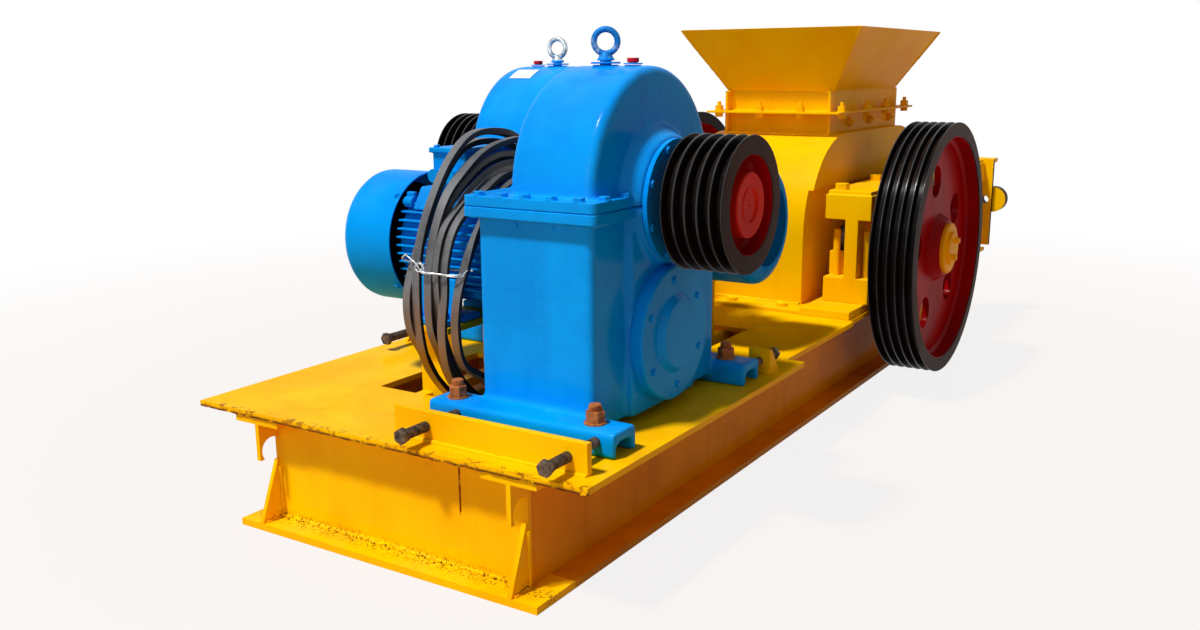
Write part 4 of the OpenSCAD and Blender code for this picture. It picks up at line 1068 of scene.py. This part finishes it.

# ---- Belts ----
# Wrapped V-belts taken off the pulleys, coiled and hung round each motor, with their
# ends down in the deck opening. A twist of wire ties the first drive's belts.

# The rubber is rubbed grey in patches, and yellow-brown where it hangs low: dust, and a painted reflection of
# the yellow deck.
wear, wear_in, wear_out = group_of(
    "belt_wear",
    [("Place", "vector"), ("Face", "colour"), ("Worn", "colour"), ("Low Dust And Reflection", "colour")],
    [("Colour", "colour"), ("Roughness", "value"), ("Height", "value")],
)
place = wear_in.outputs["Place"]
rubbed = ramp_of(wear, noise_of(wear, place, 14.0, 6.0, 0.6), 0.35, 0.72)
scuffs = ramp_of(wear, noise_of(wear, place, 140.0, 4.0, 0.7), 0.55, 0.75)
worn = sum_of(wear, "ADD", sum_of(wear, "MULTIPLY", rubbed, 0.75), sum_of(wear, "MULTIPLY", scuffs, 0.3))
height = wear.nodes.new("ShaderNodeSeparateXYZ")
wire(wear, place, height.inputs[0])
# Low on the belts the colour turns yellow-brown: dust, and a painted reflection of the deck below
low = ramp_of(wear, height.outputs["Z"], 0.43, 0.31)
dust_and_reflection = sum_of(wear, "MULTIPLY", low, ramp_of(wear, noise_of(wear, place, 22.0, 4.0), 0.3, 0.6, 0.5, 1.0))
wire(wear, blend_of(wear, dust_and_reflection, blend_of(wear, worn, wear_in.outputs["Face"], wear_in.outputs["Worn"]),
                    wear_in.outputs["Low Dust And Reflection"]), wear_out.inputs["Colour"])
wire(wear, ramp_of(wear, worn, 0.0, 1.0, 0.42, 0.7), wear_out.inputs["Roughness"])
wire(wear, noise_of(wear, place, 900.0, 2.0), wear_out.inputs["Height"])


def around(table, angle):
    """A value round a loop, read smoothly from a table of evenly spaced values."""
    place = (angle / (2 * math.pi)) % 1.0 * len(table)
    i = int(place)
    t = place - i
    a, b, c, d = (table[(i + k) % len(table)] for k in (-1, 0, 1, 2))
    bend, twist = 2 * a - 5 * b + 4 * c - d, 3 * b - a - 3 * c + d
    return 0.5 * (2 * b + (c - a) * t + bend * t * t + twist * t ** 3)


def strand(points, r, sides=8):
    """A round wire bent through points, as a bmesh."""
    line = bpy.data.curves.new("strand", "CURVE")
    line.dimensions = "3D"
    line.bevel_depth = r
    line.bevel_resolution = max(1, sides // 4)
    line.use_fill_caps = True
    run = line.splines.new("NURBS")
    run.points.add(len(points) - 1)
    for point, at in zip(run.points, points):
        point.co = (*at, 1.0)
    run.order_u = 3
    run.use_endpoint_u = True
    run.resolution_u = 4
    rope = bpy.data.objects.new("strand", line)
    bpy.context.scene.collection.objects.link(rope)
    bm = shape_after(rope)
    bmesh.ops.remove_doubles(bm, verts=bm.verts, dist=0.01)
    bmesh.ops.recalc_face_normals(bm, faces=bm.faces)
    return bm


# The belts' sides and inner faces are near-black: darker rubber, with painted shade where the loops hide one
# another.
belt_face, shaded_belt_flank = (
    finish_of(title, wear, {"Face": face, "Worn": rubbed_face, "Low Dust And Reflection": low_dust_and_reflection}, 0.3, 0.0004)
    for title, face, rubbed_face, low_dust_and_reflection in (("belt_rubber", "3C3E40", "74767A", "8A5A14"),
                                               ("belt_rubber_flanks_and_painted_shade", "0C0C0D", "1A1816", "1E1206")))
wire_steel = metal("tie_wire_steel", "D5D8DC", "9098A0", 0.35, 0.9, 90.0)
belt_r = 239.0
stations = 24
loop_x, loop_z = -9.0, 410.0
# Each loop: place along Y, then the radius every fifteen degrees from +X
# up, and how far the belt is rolled over, in degrees, at the same stations
loops = (
    (36, (222, 224, 228, 232, 236, 238, 240, 240, 224, 208, 201, 209,
          223, 227, 219, 226, 234, 238, 238, 238, 237, 234, 228, 224), {}),
    (19, (215, 212, 210, 214, 226, 248, 257, 261, 248, 233, 225, 221,
          218, 223, 232, 235, 238, 239, 239, 239, 238, 232, 224, 218), {4: 40, 5: 30, 6: 12}),
    (-2, (232, 234, 238, 244, 248, 248, 238, 231, 224, 223, 218, 215.5,
          215, 220, 218, 228, 235, 238, 239, 239, 238, 236, 234, 232), {8: -8, 9: -6}),
    (3, (205, 205, 206, 208, 212, 216, 214, 210, 205, 206, 205, 203,
          203, 206, 208, 214, 224, 230, 234, 232, 226, 218, 210, 206), {6: 40, 7: 55, 8: 60, 9: 50, 10: 30}),
    (-8, (200, 200, 200, 201, 203, 203, 201, 198, 196, 200, 203, 203,
          202, 204, 208, 216, 224, 230, 232, 230, 224, 214, 206, 202), {6: 30, 7: 45, 8: 50, 9: 40, 10: 15}),
    (-14, (215, 212, 208, 203, 198, 193, 189, 188, 190, 200, 214.5, 215,
          209, 208, 220, 230, 235, 238, 239, 238, 236, 232, 226, 220), {6: 60, 7: 62, 8: 35, 9: 10}),
    (-30, (214, 211, 207, 202, 197, 192, 189, 190, 189.5, 197, 208, 208.5,
          206, 222, 238, 243, 238, 238, 239, 238, 236, 232, 226, 220), {6: 20, 7: 10}),
    (-52, (200, 198, 195, 192, 188, 184, 181, 179, 178, 178.5, 181, 187,
          203, 218, 226, 208, 212, 225, 232, 232, 228, 220, 212, 205), {8: 30, 9: 30, 10: 20}),
)
for n in (1, 2):
    all_belts = bmesh.new()
    for y, radii, rolls in loops:
        section = [(belt_r - 11, -5.2), (belt_r, -8.3), (belt_r, 8.3), (belt_r - 11, 5.2)]
        belt = turned(section, (0, 0, 0), 144)
        for f in belt.faces:
            # Faces off the belt's back take the near-black side rubber with its painted shade
            f.material_index = 0 if all(math.hypot(v.co.x, v.co.z) > belt_r - 1 for v in f.verts) else 1
        soften(belt, 1.3, 2, 30.0, 1.0)
        roll_table = [math.radians(rolls.get(i, 0.0)) for i in range(stations)]
        for v in belt.verts:
            angle = math.atan2(v.co.z, v.co.x)
            out, across = math.hypot(v.co.x, v.co.z) - belt_r, v.co.y
            roll = around(roll_table, angle) + 0.05 * math.sin(3 * angle + y)
            r = around(radii, angle)
            slope = (around(radii, angle + 0.01) - around(radii, angle - 0.01)) / 0.02 / r
            level = angle - math.atan(slope)
            lift = out * math.cos(roll) - across * math.sin(roll)
            side = out * math.sin(roll) + across * math.cos(roll)
            v.co = (r * math.cos(angle) + lift * math.cos(level), y + side + 1.5 * math.sin(2 * angle + y),
                    r * math.sin(angle) + lift * math.sin(level))
        bmesh.ops.translate(belt, verts=belt.verts, vec=(loop_x, 0, loop_z))
        join_into(all_belts, belt)
    bmesh.ops.recalc_face_normals(all_belts, faces=all_belts.faces)
    piece(at_drive(all_belts, n), "belts_%d_hung" % n, belt_face,
          stands_for=["belt_loops_%d" % n], sharp=60, also=[shaded_belt_flank])
tie_runs = (
    ((-230, 32, 476), (-228, 27, 471), (-233, 15, 468), (-230, 12, 464), (-233, 5, 458),
     (-230, 3, 453), (-233, -6, 451), (-224, -16, 450), (-223, -31, 449), (-214, -42, 447),
     (-210, -54, 447), (-201, -60, 448), (-201, -65, 451), (-196, -65, 454)),
    ((-233, 1, 468), (-230, -2, 463), (-233, -7, 456), (-230, 0, 454), (-233, 5, 451),
     (-230, 13, 453), (-233, 12, 460), (-230, 9, 465), (-233, -1, 465), (-230, -2, 459),
     (-233, 2, 452), (-230, -4, 448), (-226, -19, 450), (-218, -33, 447), (-214, -48, 445),
     (-205, -55, 444), (-202, -63, 446), (-201, -60, 449), (-206, -59, 449)),
    ((-196, -74, 455), (-182, -72, 452), (-186, -40, 450), (-196, 0, 452), (-206, 30, 458),
     (-216, 44, 464), (-230, 46, 470), (-231, 30, 478)),
)
tie = bmesh.new()
for points in tie_runs:
    join_into(tie, strand(points, 1.3))
at_drive(tie, 1)
piece(tie, "belt_tie_wire", wire_steel)

# ---- Crusher housing ----
# Welded from plate: a curved housing with doubled side plates, standing on a flat foot
# that is bolted and welded to the deck, under yellow enamel.
crusher_y = -52.0
yellow_crusher = painted("yellow_crusher_paint", "FFC800", "FBB400", dust_amount=0.10, rust_amount=0.35)
piece(soften(solid_of("crusher_housing", False), 1.4, 2, 50.0, 3.0), "crusher_housing_welded", yellow_crusher,
      stands_for=["crusher_housing"], sharp=40)
bm = soften(solid_of("housing_foot", False), 1.2, 2, 50.0, 3.0)
for s in (-1, 1):
    for y in (-120, 8, 136):
        add_bolt(bm, (crusher_x + s * 468, crusher_y + y, deck_z + 8), (0, 0, 1), 24, 5)
    for x in (-180, 180):
        add_bolt(bm, (crusher_x + x, crusher_y + s * 168, deck_z + 8), (0, 0, 1), 19, 8)
    for x in (-436, 436):
        add_weld(bm, (crusher_x + x, crusher_y - 150, deck_z + 9),
                 (crusher_x + x, crusher_y + 150, deck_z + 9), 4.0, x + s)
piece(bm, "housing_foot_welded", yellow_crusher, stands_for=["housing_foot"])

# ---- Throat and hopper ----
# Folded and welded sheet, bolted at a flange plate. The end sheets of the throat and the
# hopper's foot stand back between the side sheets, whose edges show as corner strips.
set_back = 22.0
throat_end = 254.0
throat_side = 139.5
low_z, plate_z, top_z = 600.0, 659.0, 707.0


def add_stud(bm, x, y):
    """A stud through the throat's flange plate, with its nut above and its head below."""
    add_bolt(bm, (x, y, plate_z), (0, 0, 1), 18, 11)
    add_rod(bm, (x, y, plate_z + 8), (x, y, plate_z + 23), 5, 16, 1.2)
    add_bolt(bm, (x, y, plate_z - 5), (0, 0, -1), 18, 8)


throat = solid_of("throat_box", False)
hopper = solid_of("feed_hopper")
for bm in (throat, hopper):
    for v in bm.verts:
        run = v.co.x - crusher_x
        if abs(run) < throat_end + 2 and v.co.z < top_z + 1:
            v.co.x -= set_back if run > 0 else -set_back
soften(throat, 0.8, 2, 50.0, 3.0)
for s in (-1, 1):
    for t in (-1, 1):
        inner, outer = s * (throat_end - set_back - 6), s * throat_end
        y = crusher_y + t * throat_side
        for z, z_top in ((low_z, plate_z - 5), (plate_z, top_z)):
            add_box(throat, (crusher_x + min(inner, outer), y - (5.4 if t > 0 else 0.6), z),
                    (crusher_x + max(inner, outer), y + (0.6 if t > 0 else 5.4), z_top), 0.8)
        # Small lips at the top of the corner strips
        add_box(throat, (crusher_x + min(outer, outer - s * 22), y - (12 if t > 0 else 0), top_z - 3),
                (crusher_x + max(outer, outer - s * 22), y + (0 if t > 0 else 12), top_z + 0.5), 0.6)
    face = crusher_x + s * (throat_end - set_back)
    lip = crusher_x + s * (throat_end - 1)
    add_box(throat, (min(face, lip) - 3, crusher_y - throat_side + 2, low_z + 1),
            (max(face, lip) + 1, crusher_y + throat_side - 2, low_z + 7), 0.8)
    for z in (plate_z + 0.5, plate_z - 5.5):
        add_weld(throat, (face + s, crusher_y - 132, z), (face + s, crusher_y + 132, z), 2.2, s + z)
    # Studs go through the plate along its sides, and bolts through the lower side sheets
    for x in (-42, 101, 266):
        add_stud(throat, crusher_x + x, crusher_y + s * 159)
    for x in (-123, 28, 186):
        add_bolt(throat, (crusher_x + x, crusher_y + s * throat_side, 630), (0, s, 0), 19, 9)
        add_rod(throat, (crusher_x + x, crusher_y + s * (throat_side + 8), 630),
                (crusher_x + x, crusher_y + s * (throat_side + 16), 630), 5, 16, 1.2)
for x, y in ((-272, 148), (-272, 37), (-272, -71), (-240, -165), (272, 148), (272, 37), (272, -71)):
    add_stud(throat, crusher_x + x, crusher_y + y)
piece(throat, "throat_welded", yellow_crusher, stands_for=["throat_box"])
soften(hopper, 0.6, 1, 60.0, 6.0)
for s in (-1, 1):
    for t in (-1, 1):
        foot_at = (crusher_x + s * (throat_end - set_back + 0.5), crusher_y + t * (throat_side + 0.5),
                   top_z + 1)
        mouth_at = (crusher_x + s * 322, crusher_y + t * 232, 856)
        add_weld(hopper, foot_at, mouth_at, 2.0, s + 2 * t)
    add_weld(hopper, (crusher_x - 230, crusher_y + s * (throat_side + 0.5), top_z + 1),
             (crusher_x + 230, crusher_y + s * (throat_side + 0.5), top_z + 1), 2.2, s)
piece(hopper, "hopper_welded", yellow_crusher, stands_for=["feed_hopper"])

# ---- Bearing frames ----
# Heavy rails on each side of the housing carry the roll bearings between them. The
# blocks slide, held by studs and, at the far end, by springs in a bracket.
piece(soften(solid_of("rail_pads"), 1.5, 2, 50.0, 3.0), "rail_pads_welded", yellow_crusher,
      stands_for=["rail_pads"])
for side, label in ((-1, "near"), (1, "far")):
    bm = soften(solid_of("bearing_frame_" + label, False), 1.8, 2, 50.0, 3.0)
    for x in (104, 346, 838, 1080):
        add_bolt(bm, (x, crusher_y + side * 224, 487), (0, 0, 1), 28, 13)
    for x in (126, 1058):
        for y in (209, 283):
            add_box(bm, (x - 7, crusher_y + side * y - 16, 285), (x + 7, crusher_y + side * y + 16, 341), 2.0)
    piece(bm, "bearing_frame_" + label + "_welded", yellow_crusher,
          stands_for=["bearing_frame_" + label])
    piece(soften(solid_of("bearing_blocks_" + label, False), 2.5, 3, 40.0, 2.0),
          "bearing_blocks_" + label + "_cast", yellow_crusher,
          stands_for=["bearing_blocks_" + label])
    bm = solid_of("spring_gear_" + label, False)
    for f in bm.faces:
        # The flame-cut outer edge of the bracket and its boss are bare and brown
        middle = f.calc_center_median()
        outer = middle.x > 1108 and (middle.y - crusher_y) * side > 290 and middle.z < 476
        f.material_index = int(outer and abs(f.normal.x) < 0.3 and f.normal.y * side > -0.2)
    piece(soften(bm, 1.2, 2, 40.0, 2.0), "spring_gear_" + label + "_welded",
          yellow_crusher, stands_for=["spring_gear_" + label], also=(rim_face,))

low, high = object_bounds()
